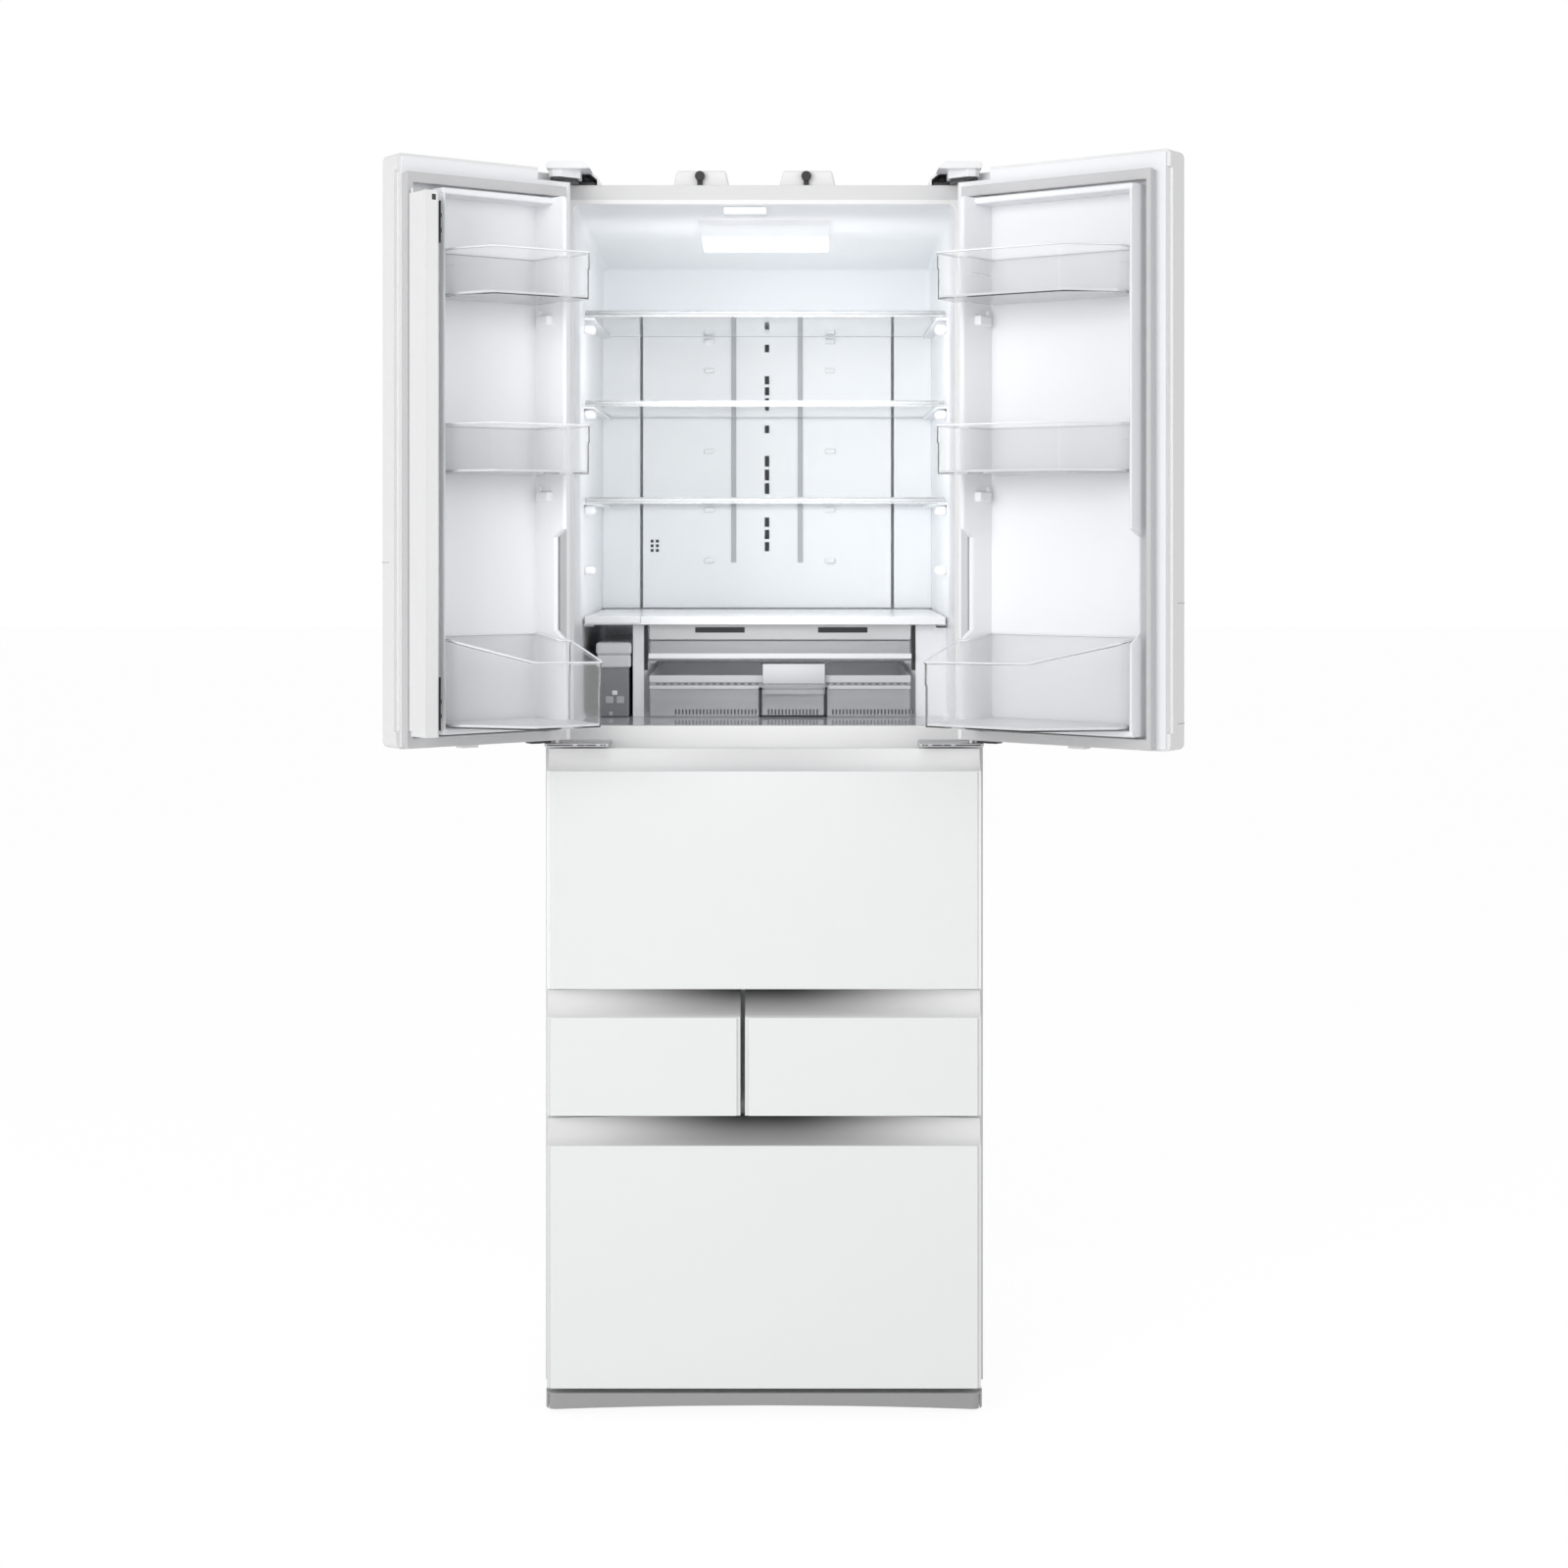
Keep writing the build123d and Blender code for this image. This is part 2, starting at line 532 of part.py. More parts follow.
def build_hinges():
    brackets = Part()
    covers = Part()
    ahead = FLANGE_Y - PIN_Y
    for side in (-1, 1):
        def outline(points):
            return [(side * (PIN_X - u), PIN_Y + v) for u, v in points]

        # Upper bracket: a flat foot on the cabinet top and an arm that reaches into the door's recess
        arm = [(-9, -4), (-4, -9), (6, -9), (30, 10), (30, ahead + 4), (0, ahead + 4), (0, 20), (-9, 4)]
        upper = along_z(outline(arm), ARM_Z)
        foot_x = [side * x for x in HINGE_FOOT_X]
        upper += block(foot_x, (FLANGE_Y + 3, HINGE_FOOT_BACK), ARM_Z)
        recess_gap = ARM_Z[0] - DOOR_Z[1] + HINGE_RECESS[1]
        upper += rod((side * PIN_X, PIN_Y, ARM_Z[0] + 1), (0, 0, -1), PIN_R, PIN_DEPTH + recess_gap + 1)
        brackets += upper
        # Lower bracket: a shelf under the door's pin, fixed to the cabinet flange
        plate_x = [side * x for x in LOWER_PLATE_X]
        lower = block(plate_x, (PIN_Y - 13, FLANGE_Y), LOWER_PLATE_Z)
        lower += block(plate_x, (FLANGE_Y - 3, FLANGE_Y), LOWER_FLANGE_Z)
        pin_start = LOWER_PLATE_Z[1] - 1
        pin_length = DOOR_Z[0] + PIN_DEPTH - 3 - pin_start
        lower += rod((side * PIN_X, PIN_Y, pin_start), (0, 0, 1), PIN_R, pin_length)
        brackets += lower
        # Cover: a cap that slopes down at its inner end, with a skirt round the arm
        cap_y = (PIN_Y - 18, HINGE_FOOT_BACK + 10)
        near, far = COVER_X
        slope_x, slope_z = COVER_SLOPE
        sides = [(far, CABINET_TOP), (far, TOP), (near + slope_x, TOP)]
        sides += [(near, TOP - slope_z), (near, CABINET_TOP)]
        cap = along_y([(side * x, z) for x, z in sides], cap_y)
        room = [(far - COVER_T, 0), (far - COVER_T, TOP - COVER_T), (near + slope_x + 1, TOP - COVER_T)]
        room += [(near + COVER_T, TOP - slope_z - 1), (near + COVER_T, 0)]
        cap -= along_y([(side * x, z) for x, z in room], (cap_y[0] + COVER_T, cap_y[1] - COVER_T))
        cap -= block((0, side * HALF), (cap_y[0] - 1, FLANGE_Y + 1), (0, DOOR_Z[1] + COVER_GAP))
        skirt = [(-11, -5), (-5, -11), (7, -11), (34, 9), (34, ahead - 1), (0, ahead - 1), (0, 20), (-11, 4)]
        cap += along_z(outline(skirt), (ARM_Z[1] + 0.5, TOP - COVER_T + 1))
        covers += cap
    save("hinge_brackets", brackets)
    save("hinge_covers", covers)

    # Anti-tip anchors on the cabinet top, each with a round stud on a neck
    anchors = Part()
    studs = Part()
    taper = 6.0
    neck_half = 4.0
    for low in ANCHOR_X:
        high = low + ANCHOR_W
        sides = [(low, CABINET_TOP), (high, CABINET_TOP), (high - taper, TOP - 1), (low + taper, TOP - 1)]
        anchors += along_y(sides, ANCHOR_Y)
        stud_x = (low + high) / 2 - 2
        stud = rod((stud_x, ANCHOR_Y[0], ANCHOR_STUD_Z), (0, -1, 0), ANCHOR_STUD_R, 8)
        neck_x = (stud_x - neck_half, stud_x + neck_half)
        stud += block(neck_x, (ANCHOR_Y[0] - 5, ANCHOR_Y[0]), (CABINET_TOP, ANCHOR_STUD_Z - 3))
        studs += stud
    save("anti_tip_anchors", anchors)
    save("anchor_studs", studs)


def build_shelves():
    shelf_x = (-SHELF_HALF, SHELF_HALF)
    trim_half = SHELF_HALF - 14
    lip_h = 7.0
    shelves = Part()
    for top in SHELF_TOPS:
        shelf = block(shelf_x, (SHELF_FRONT, SHELF_BACK), (top - SHELF_T, top))
        trim_y = (SHELF_FRONT, SHELF_FRONT + TRIM_D)
        shelf += block((-trim_half, trim_half), trim_y, (top - TRIM_H, top))
        shelf += block(shelf_x, (SHELF_BACK - 10, SHELF_BACK), (top - SHELF_T, top + lip_h))
        shelves += shelf
    save("shelves", shelves)

    # Cover over the chilled cases, with a hanging strip that has two slots
    plate_z = (COVER_Z[1] - 6, COVER_Z[1])
    trim_back = SHELF_FRONT + 22
    cover = block(shelf_x, (SHELF_FRONT + 20, SHELF_BACK), plate_z)
    cover += block(shelf_x, (SHELF_FRONT, trim_back), COVER_Z)
    strip_y = (trim_back, trim_back + 4)
    cover += block(CASE_X, strip_y, (STRIP_Z, plate_z[0]))
    slot_top = COVER_Z[0] - 5
    for low in SLOT_X:
        slot_y = (strip_y[0] - 1, strip_y[1] + 1)
        cover -= block((low, low + SLOT_SIZE[0]), slot_y, (slot_top - SLOT_SIZE[1], slot_top))
    save("chilled_case_cover", cover)


def build_cases():
    # Walls at both sides of the cases, each with a ledge under the upper case
    ledge_top = UPPER_CASE_Z[0] - 0.5
    ledge_z = (ledge_top - LEDGE_T, ledge_top)
    wall_top = COVER_Z[0] - 0.5
    ledge_x = CAVITY_HALF - LEDGE_W - 0.5
    left_wall = block(LEFT_WALL_X, WALL_Y, (FRIDGE_FLOOR, wall_top))
    left_wall += block((LEFT_WALL_X[1], CASE_X[0] + 8), LEDGE_Y, ledge_z)
    right_wall = block(RIGHT_WALL_X, WALL_Y, (FRIDGE_FLOOR, STRIP_Z))
    right_wall += block((RIGHT_WALL_X[0], ledge_x), WALL_Y, (STRIP_Z, wall_top))
    right_wall += block((CASE_X[1] - 8, RIGHT_WALL_X[0]), LEDGE_Y, ledge_z)
    save("case_side_walls", left_wall + right_wall)

    # Upper case with its front lip, and lower case with a raised grip
    upper = tray(CASE_X, CASE_Y, UPPER_CASE_Z, CASE_WALL)
    lip_z = (UPPER_CASE_Z[0] + 4, UPPER_CASE_Z[0] + 11)
    upper += block(CASE_X, (CASE_Y[0] - 6, CASE_Y[0] + 1), lip_z)
    save("upper_case", upper)
    lower = tray(CASE_X, CASE_Y, LOWER_CASE_Z, CASE_WALL)
    grip_y = (CASE_Y[0] - 10, CASE_Y[0])
    lower += block(CASE_GRIP_X, grip_y, CASE_GRIP_Z)
    finger_x = (CASE_GRIP_X[0] + 4, CASE_GRIP_X[1] - 4)
    lower -= block(finger_x, (grip_y[0] + 3, grip_y[1] - 0.5), (CASE_GRIP_Z[0] - 1, CASE_GRIP_Z[1] - 5))
    save("lower_case", lower)

    # Water tank with its lid, which plugs into the tank's mouth
    tank = tray(TANK_X, TANK_Y, TANK_Z, CASE_WALL)
    lid_x = (TANK_X[0] - LID_OVERHANG, TANK_X[1] + LID_OVERHANG)
    lid = block(lid_x, (TANK_Y[0] - LID_OVERHANG, TANK_Y[1]), (TANK_Z[1], LID_TOP))
    lid = fillet(lid.edges().group_by(Axis.Z)[-1], 8)
    plug = CASE_WALL + 0.5
    plug_x = (TANK_X[0] + plug, TANK_X[1] - plug)
    lid += block(plug_x, (TANK_Y[0] + plug, TANK_Y[1] - plug), (TANK_Z[1] - 6, TANK_Z[1]))
    save("water_tank", Compound([tank.solid(), lid.solid()]))


def build_fridge_fittings():
    # Cold air duct cover: a hollow panel with ribs, outlet slots and side vents
    duct = block((-DUCT_HALF, DUCT_HALF), (DUCT_Y, CAVITY_BACK), DUCT_Z)
    room_half = DUCT_HALF - DUCT_T
    duct -= block((-room_half, room_half), (DUCT_Y + DUCT_T, BACK), (DUCT_Z[0] + DUCT_T, DUCT_Z[1] - DUCT_T))
    for side in (-1, 1):
        rib_x = [side * x for x in DUCT_RIB_X]
        duct += block(rib_x, (DUCT_Y - DUCT_T, DUCT_Y + 1), DUCT_RIB_Z)
    through = (DUCT_Y - 1, DUCT_Y + DUCT_T + 1)
    outlets = [(top, SINGLE_H) for top in SINGLE_OUTLETS]
    for top, pitch in OUTLET_GROUPS:
        outlets += [(top - step * pitch, pitch - OUTLET_GAP) for step in range(3)]
    for top, height in outlets:
        duct -= block((-OUTLET_W / 2, OUTLET_W / 2), through, (top - height, top))
    for column in range(2):
        for row in range(3):
            x = SIDE_VENT_START[0] + column * SIDE_VENT_PITCH[0]
            z = SIDE_VENT_START[1] + row * SIDE_VENT_PITCH[1]
            duct -= block((x, x + SIDE_VENT), through, (z, z + SIDE_VENT))
    save("back_duct_cover", duct)

    # Ceiling lamp lens and the guide for the mullion flap
    lens = [(y, ceiling(y)) for y in LAMP_Y] + [(y, ceiling(y) - LAMP_T) for y in reversed(LAMP_Y)]
    save("lamp_lens", along_x(lens, (-LAMP_HALF, LAMP_HALF)))
    guide_floor = FLAP_Z[1] + 4
    guide = [(y, guide_floor) for y in GUIDE_Y] + [(y, ceiling(y)) for y in reversed(GUIDE_Y)]
    save("flap_guide", along_x(guide, GUIDE_X))


def build_rails():
    # Side channels for the wide drawers
    channel_x = (BIN_HALF + 12, CAVITY_HALF)
    rails = Part()
    for z, bin_back in ((WIDE_RAIL_Z, VEGETABLE_BIN[0]), (LOWER_RAIL_Z, LOWER_BIN[0] + 8)):
        for side in (-1, 1):
            outer = (side * channel_x[0], side * channel_x[1])
            groove = (side * (channel_x[0] - 1), side * (channel_x[1] - 3))
            rail = block(outer, (RAIL_FRONT, bin_back), (z - 6, z + RAIL_H + 8))
            rail -= block(groove, (RAIL_FRONT - 8, bin_back - 4), (z - 1, z + RAIL_H + 3))
            rails += rail
    # Ledges for the two small bins, on the side walls and hung from the partition
    for side in (-1, 1):
        wall_ledge = (side * (BIN_HALF + 4), side * CAVITY_HALF)
        rails += block(wall_ledge, (RAIL_FRONT, LEDGE_BACK), LEDGE_Z)
    middle = (POST_X[0] + POST_X[1]) / 2
    reach = (POST_X[1] - POST_X[0]) / 2 + POST_GAP - 0.8
    hanger_y = (FLANGE_Y + BAR_DEPTH, LEDGE_BACK)
    hanger = block((middle - 3, middle + 3), hanger_y, (LEDGE_Z[0], PARTITION_Z[0]))
    hanger += block((middle - reach, middle + reach), hanger_y, LEDGE_Z)
    save("cabinet_rails", rails + hanger)


def build_drawer_front(name, x, z, seal_z, grip_back):
    """Glass, front frame and seal of one drawer."""
    bottom, glass_top, top = z
    glass_x = (x[0] + DRAWER_GLASS_INSET, x[1] - DRAWER_GLASS_INSET)
    save(name + "_glass", block(glass_x, (FRONT, FRONT + GLASS_T), (bottom, glass_top)))

    # The frame's top edge is hollowed for the fingers
    slab_y = FRONT + GLASS_T
    profile = [(slab_y, bottom), (slab_y, glass_top), (slab_y + 8, glass_top + 1)]
    profile += [(grip_back - 9, glass_top + 12), (grip_back, top)]
    profile += [(DOOR_BACK, top), (DOOR_BACK, bottom)]
    save(name + "_frame", along_x(profile, x))

    # The seal lands on the cabinet's side flange, or on the post where the drawer ends there
    wall_inset = 16.0
    post_inset = 3.3
    seal_x = [x[0] + (wall_inset if x[0] == -DOOR_HALF else post_inset)]
    seal_x.append(x[1] - (wall_inset if x[1] == DOOR_HALF else post_inset))
    border = (SEAL_W, SEAL_W, seal_z[1] - seal_z[0], seal_z[3] - seal_z[2])
    ring = seal(seal_x, (DOOR_BACK, FLANGE_Y - SEAL_GAP), (seal_z[0], seal_z[3]), border)
    save(name + "_gasket", ring)


def build_wide_bin(name, bin_back, z, rail_z):
    """Bin of a full-width drawer and the rails that run in the cabinet's channels."""
    save(name + "_bin", tray((-BIN_HALF, BIN_HALF), (BIN_FRONT, bin_back), z, BIN_WALL))
    rails = Part()
    for side in (-1, 1):
        edge = side * BIN_HALF
        strip = (edge, edge + side * 3)
        runner = block(strip, (DOOR_BACK, bin_back - 4), (rail_z, rail_z + RAIL_H))
        fin = (edge, edge + side * 16)
        runner += block(fin, (RAIL_FRONT + 12, bin_back - 10), (rail_z + 4, rail_z + RAIL_H - 4))
        rails += runner
    save(name + "_rails", rails)


def build_small_bin(name, x, bin_back, z):
    """Bin of a half-width drawer, with rims that ride on the fixed ledges."""
    basket = tray(x, (BIN_FRONT, bin_back), z, BIN_WALL)
    rim_z = (LEDGE_Z[1] + 0.6, LEDGE_Z[1] + 3.6)
    for edge, way in ((x[0], -1), (x[1], 1)):
        rim = WALL_RIM if abs(edge) == BIN_HALF else POST_RIM
        basket += block((edge - way, edge + way * rim), (FLANGE_Y + BAR_DEPTH + 8, bin_back), rim_z)
    basket += block(x, (DOOR_BACK, BIN_FRONT + 1), (z[0] + 40, z[1]))
    save(name + "_bin", basket)


def build_drawers():
    wide = (-DOOR_HALF, DOOR_HALF)
    build_drawer_front("vegetable", wide, VEGETABLE_Z, VEGETABLE_SEAL_Z, WIDE_GRIP_BACK)
    build_wide_bin("vegetable", *VEGETABLE_BIN, WIDE_RAIL_Z)
    build_drawer_front("lower_freezer", wide, LOWER_Z, LOWER_SEAL_Z, DEEP_GRIP_BACK)
    build_wide_bin("lower_freezer", *LOWER_BIN, LOWER_RAIL_Z)
    build_drawer_front("ice_drawer", (-DOOR_HALF, SPLIT[0]), SMALL_Z, SMALL_SEAL_Z, DEEP_GRIP_BACK)
    build_small_bin("ice_drawer", (-BIN_HALF, POST_X[0] - POST_GAP), *SMALL_BIN)
    build_drawer_front("upper_freezer", (SPLIT[1], DOOR_HALF), SMALL_Z, SMALL_SEAL_Z, DEEP_GRIP_BACK)
    build_small_bin("upper_freezer", (POST_X[1] + POST_GAP, BIN_HALF), *SMALL_BIN)


def pocket(place, inner, corner, front, z, rim_fall):
    """Clear door pocket that passes between the door's ridges and widens in front of the hinge ridge."""
    wall_b = RIDGE_HIGH + 2
    near, far = POCKET_HINGE_A
    plan = [(far, POCKET_BACK), (far, wall_b), (near, wall_b), (near, front)]
    plan += [(corner, front - POCKET_BEND), (inner, POCKET_SIDE), (inner, POCKET_BACK)]
    points = [(*place(a, b), z[0]) for a, b in plan]
    outer = make_face(FilletPolyline(*points, radius=4, close=True))
    height = z[1] - z[0]
    shape = extrude(outer, height, dir=(0, 0, 1))
    shape -= Pos(0, 0, POCKET_WALL) * extrude(offset(outer, -POCKET_WALL), height, dir=(0, 0, 1))
    if rim_fall:
        start = PIN_Y + RIDGE_LOW
        end = PIN_Y + front + 20
        above = z[1] + 9
        fall = [(start, z[1]), (end, z[1] - rim_fall), (end, above), (start, above)]
        shape -= along_x(fall, (-HALF, HALF))
    return shape


def build_door(name, side, free_x, inner, corners, seal_run):
    """One french door, modelled shut and then swung open about its pin."""
    free = PIN_X - side * free_x
    axis = Axis((side * PIN_X, PIN_Y, 0), (0, 0, 1))
    hinge_edge = PIN_X - DOOR_HALF
    front_b = FRONT - PIN_Y
    back_b = DOOR_BACK - PIN_Y
    skin_b = back_b + SKIN_T

    def place(a, b):
        return side * (PIN_X - a), PIN_Y + b

    def bar(a, b, z):
        near = place(a[0], b[0])
        far = place(a[1], b[1])
        return block((near[0], far[0]), (near[1], far[1]), z)

    def swing(part, shape):
        save(part, shape.rotate(axis, side * SWING))

    glass_z = (DOOR_Z[0] + GLASS_MARGIN, DOOR_Z[1] - GLASS_MARGIN)
    glass_a = (hinge_edge + GLASS_MARGIN, free - GLASS_MARGIN)
    swing(name + "_glass", bar(glass_a, (front_b, front_b + GLASS_T), glass_z))

    # Frame with its foam core, hinge recess, pin sockets, finger groove down the free edge and tab underneath
    frame = bar((hinge_edge, free), (front_b + GLASS_T, back_b), DOOR_Z)
    groove_a = (free - GROOVE[0], free + 1)
    frame -= bar(groove_a, (back_b - GROOVE[1], back_b + 1), (DOOR_Z[0] + 25, DOOR_Z[1] - 25))
    recess_z = (DOOR_Z[1] - HINGE_RECESS[1], DOOR_Z[1] + 1)
    recess_b = (front_b + GLASS_T + RECESS_WALL, skin_b + 1)
    recess = bar((hinge_edge - 1, HINGE_RECESS[0]), recess_b, recess_z)
    frame -= recess
    for end, way in ((DOOR_Z[0], 1), (recess_z[0], -1)):
        frame -= rod((*place(0, 0), end - way), (0, 0, way), PIN_R + PLAY, PIN_DEPTH + 3)
    tab_a = (free / 2, free / 2 + 26)
    frame += bar(tab_a, (-10, 10), (DOOR_Z[0] - 4.5, DOOR_Z[0]))
    swing(name + "_frame", frame)

    # Inner skin with ridges along the hinge side, the free edge, the top and the foot
    def hinge_ridge(height, z):
        levels = (skin_b, height, height, skin_b)
        return along_z([place(a, b) for a, b in zip(HINGE_RIDGE_A, levels)], z)

    liner = bar((hinge_edge + 4, free - 6), (back_b, skin_b), (DOOR_Z[0] + 3, DOOR_Z[1] - 4)) - recess
    liner += hinge_ridge(RIDGE_HIGH, (RIDGE_STEP_Z[1], RIDGE_Z[1]))
    liner += hinge_ridge(RIDGE_LOW, RIDGE_STEP_Z)
    liner += hinge_ridge(RIDGE_HIGH, (RIDGE_Z[0], RIDGE_STEP_Z[0]))
    ridge_a = (inner + 2, inner + 2 + RIDGE_W)
    free_ridge = bar(ridge_a, (skin_b, RIDGE_LOW), RIDGE_Z)
    if side > 0:
        free_ridge -= bar((inner, inner + 2 * RIDGE_W), (RIDGE_SLIM, RIDGE_HIGH), RIDGE_STEP_Z)
    liner += free_ridge
    for z in (RIDGE_Z[0], RIDGE_Z[1] - RIDGE_BAR):
        liner += bar((RIDGE_BAR_START, inner + RIDGE_W), (skin_b, RIDGE_LOW), (z, z + RIDGE_BAR))
    if side < 0:
        # Ears that carry the flap's two pins over the seal
        flap_low = FLAP_Z[0] + FLAP_NOTCH[1]
        for z in (flap_low - 1 - EAR_T, FLAP_Z[1] + 1):
            ear = bar(EAR_A[:2], (skin_b, EAR_B[1]), (z, z + EAR_T))
            ear += bar((EAR_A[0], EAR_A[2]), EAR_B, (z, z + EAR_T))
            liner += ear - rod((*place(*FLAP_AXIS), z - 1), (0, 0, 1), FLAP_PIN_R + FLAP_PLAY, EAR_T + 2)
    swing(name + "_liner", liner)

    # Seal: its run by the free edge lands on the flap, the other three on the cabinet flange
    hinge_end = place(6, 0)[0]
    free_end = place(seal_run[1], 0)[0]
    run_w = seal_run[1] - seal_run[0]
    border = (SEAL_W, run_w) if side < 0 else (run_w, SEAL_W)
    seal_y = (PIN_Y + skin_b, FLANGE_Y - SEAL_GAP)
    ring = seal(sorted((hinge_end, free_end)), seal_y, DOOR_SEAL_Z, (*border, SEAL_W, SEAL_W))
    swing(name + "_gasket", ring)

    pockets = pocket(place, inner, corners[0], POCKET_FRONT, TOP_POCKET_Z, 0)
    pockets += pocket(place, inner, corners[0], POCKET_FRONT, MIDDLE_POCKET_Z, 0)
    pockets += pocket(place, inner, corners[1], BOTTOM_POCKET_FRONT, BOTTOM_POCKET_Z, BOTTOM_RIM_FALL)
    swing(name + "_pockets", pockets)

    if side < 0:
        # Mullion flap, modelled across the closed gap, then folded back and swung with its door
        flap_a = FLAP_AXIS[0] - FLAP_ROUND
        flap_b = FLAP_AXIS[1] - FLAP_ROUND
        flap = bar((flap_a, FLAP_END), (flap_b, flap_b + FLAP_T), FLAP_Z)
        uprights = flap.edges().filter_by(Axis.Z)
        flap = chamfer(uprights.group_by(Axis.Y)[-1], 4)
        hinge_side = flap.edges().filter_by(Axis.Z).group_by(Axis.Y)[0].sort_by(Axis.X)[0]
        flap = fillet(hinge_side, FLAP_ROUND)
        flap -= bar((flap_a - 1, flap_a + FLAP_NOTCH[0]), (0, 100), (FLAP_Z[0] - 1, flap_low))
        for end, way in ((flap_low, -1), (FLAP_Z[1], 1)):
            pin_start = (*place(*FLAP_AXIS), end - way * FLAP_PIN_ROOT)
            flap += rod(pin_start, (0, 0, way), FLAP_PIN_R, FLAP_PIN_ROOT + FLAP_PIN_LENGTH)
        flap = flap.rotate(Axis((*place(*FLAP_AXIS), 0), (0, 0, 1)), 90)
        swing("mullion_flap", flap)


build_cabinet()
build_base()
build_machine_room()
build_freezer_air()
build_hinges()
build_shelves()
build_cases()
build_fridge_fittings()
build_rails()
build_drawers()
build_door("left_door", -1, SPLIT[0], LEFT_INNER, LEFT_CORNERS, LEFT_SEAL_RUN)
build_door("right_door", 1, SPLIT[1], RIGHT_INNER, RIGHT_CORNERS, RIGHT_SEAL_RUN)
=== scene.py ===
import json
import math

import bmesh
import bpy
from mathutils import Matrix, Vector

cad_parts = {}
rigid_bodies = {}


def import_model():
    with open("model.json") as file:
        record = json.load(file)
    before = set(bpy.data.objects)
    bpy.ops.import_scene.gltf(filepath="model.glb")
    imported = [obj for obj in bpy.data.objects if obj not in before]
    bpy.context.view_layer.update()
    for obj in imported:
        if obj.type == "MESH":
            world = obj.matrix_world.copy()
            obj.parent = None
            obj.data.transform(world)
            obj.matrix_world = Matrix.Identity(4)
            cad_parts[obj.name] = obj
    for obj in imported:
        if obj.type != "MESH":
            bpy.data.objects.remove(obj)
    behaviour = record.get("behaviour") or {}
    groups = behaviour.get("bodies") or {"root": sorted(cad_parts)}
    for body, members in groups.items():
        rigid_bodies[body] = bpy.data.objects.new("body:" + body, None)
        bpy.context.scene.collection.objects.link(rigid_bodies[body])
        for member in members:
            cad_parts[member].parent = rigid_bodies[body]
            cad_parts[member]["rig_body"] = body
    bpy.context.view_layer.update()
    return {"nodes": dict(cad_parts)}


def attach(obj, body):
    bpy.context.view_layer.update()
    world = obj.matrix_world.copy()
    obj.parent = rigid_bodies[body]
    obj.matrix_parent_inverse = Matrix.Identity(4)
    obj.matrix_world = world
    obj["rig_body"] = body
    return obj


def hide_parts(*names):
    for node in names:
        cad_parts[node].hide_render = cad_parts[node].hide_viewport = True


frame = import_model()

SCENE = bpy.context.scene

# All shapes are made in millimetres and scaled to metres when they become pieces.
MM = 0.001

# Edges flatter than this are shaded smooth
SMOOTH_ANGLE = 40

# Cabinet
HALF = 325.0
FLANGE_Y = -283.5
FLANGE_T = 8.0
CABINET_BACK = 346.5
PLATE_BACK = 349.5
CABINET_BOTTOM = 31.0
CABINET_TOP = 1807.0
CAVITY_HALF = 283.0
CAVITY_BACK = 290.0
FRIDGE_FLOOR = 1003.0
CEILING_FRONT = 1778.0
CEILING_BACK = 1747.0
LOWER_FLOOR = 62.0
LOWER_CEILING = 958.0
LINER_T = 1.5

# Doors: a runs from the pin to the free edge, b from the pin to the back of the door
PIN_X = 305.0
PIN_Y = -323.5
OPEN_LEFT = math.radians(36.0)
DOOR_BACK = 19.0
SKIN_BACK = 22.0
SKIN_Z = (989.5, 1817.0)
HINGE_RECESS_A = 44.0
HINGE_RECESS_Z = 1802.5
SEAL_BACK = 39.7
SEAL_Z = (988.5, 1793.0)
RIDGE_Z = (1007.0, 1772.0)
RIDGE_STEP_Z = (1150.0, 1295.0)
RIDGE_HIGH = 85.0
RIDGE_LOW = 60.0
RIDGE_SLIM = 32.0

# Door pockets as front depth, bottom and top, and how far the rim falls towards the front
UPPER_POCKET = (148, (1619, 1686), 0)
MIDDLE_POCKET = (148, (1372, 1442), 0)
LOWER_POCKET = (180, (1017, 1145), 42)

# Hinges
PIN_RADIUS = 5.0
ARM_Z = (1807.0, 1811.5)
CAP_TOP = 1833.0
LOWER_PLATE_Z = (976.0, 981.0)

# Drawers as glass bottom, glass top and handle top
DOOR_HALF = 317.0
DRAWER_FRONT = -349.5
DRAWER_BACK = -304.5
GLASS_T = 3.2
VEGETABLE_Z = (623.5, 941.5, 972.0)
SMALL_Z = (438.5, 582.0, 618.5)
LOWER_Z = (40.5, 395.0, 430.5)
SPLIT = (-34.7, -27.8)
SEAL_GAP = 0.3

# Half width of the painted shade in the drawers' finger hollows, and of the lamp's glow ramp, which runs on
# without ends
PAINTED_SHADE_HALF = 320.0
ENDLESS_HALF = 90000.0

# Fridge inside
SHELF_TOPS = (1632.0, 1493.0, 1343.0)
SHELF_T = 5.0
SHELF_FRONT = -144.5
SHELF_BACK = 255.0
SHELF_HALF = 279.0
DUCT_Y = 262.0
LENS_HALF = 101.5
LENS_Z = (1756.5, 1759.5)

# Chilled cases and water tank
CASE_X = (-180.0, 226.0)
CASE_FRONT = -128.0
CASE_GRIP_Z = (1050.0, 1080.0)
TANK_X = (-259.0, -212.0)
TANK_FRONT = -126.0


# Shader node groups
def new_group(name, inputs, outputs):
    """Empty shader node group, with its given values and its results."""
    group = bpy.data.node_groups.new(name, "ShaderNodeTree")
    for label, kind, value in inputs:
        socket = group.interface.new_socket(label, in_out="INPUT", socket_type="NodeSocket" + kind)
        socket.default_value = value
    for label, kind in outputs:
        group.interface.new_socket(label, in_out="OUTPUT", socket_type="NodeSocket" + kind)
    return group, group.nodes.new("NodeGroupInput").outputs, group.nodes.new("NodeGroupOutput").inputs


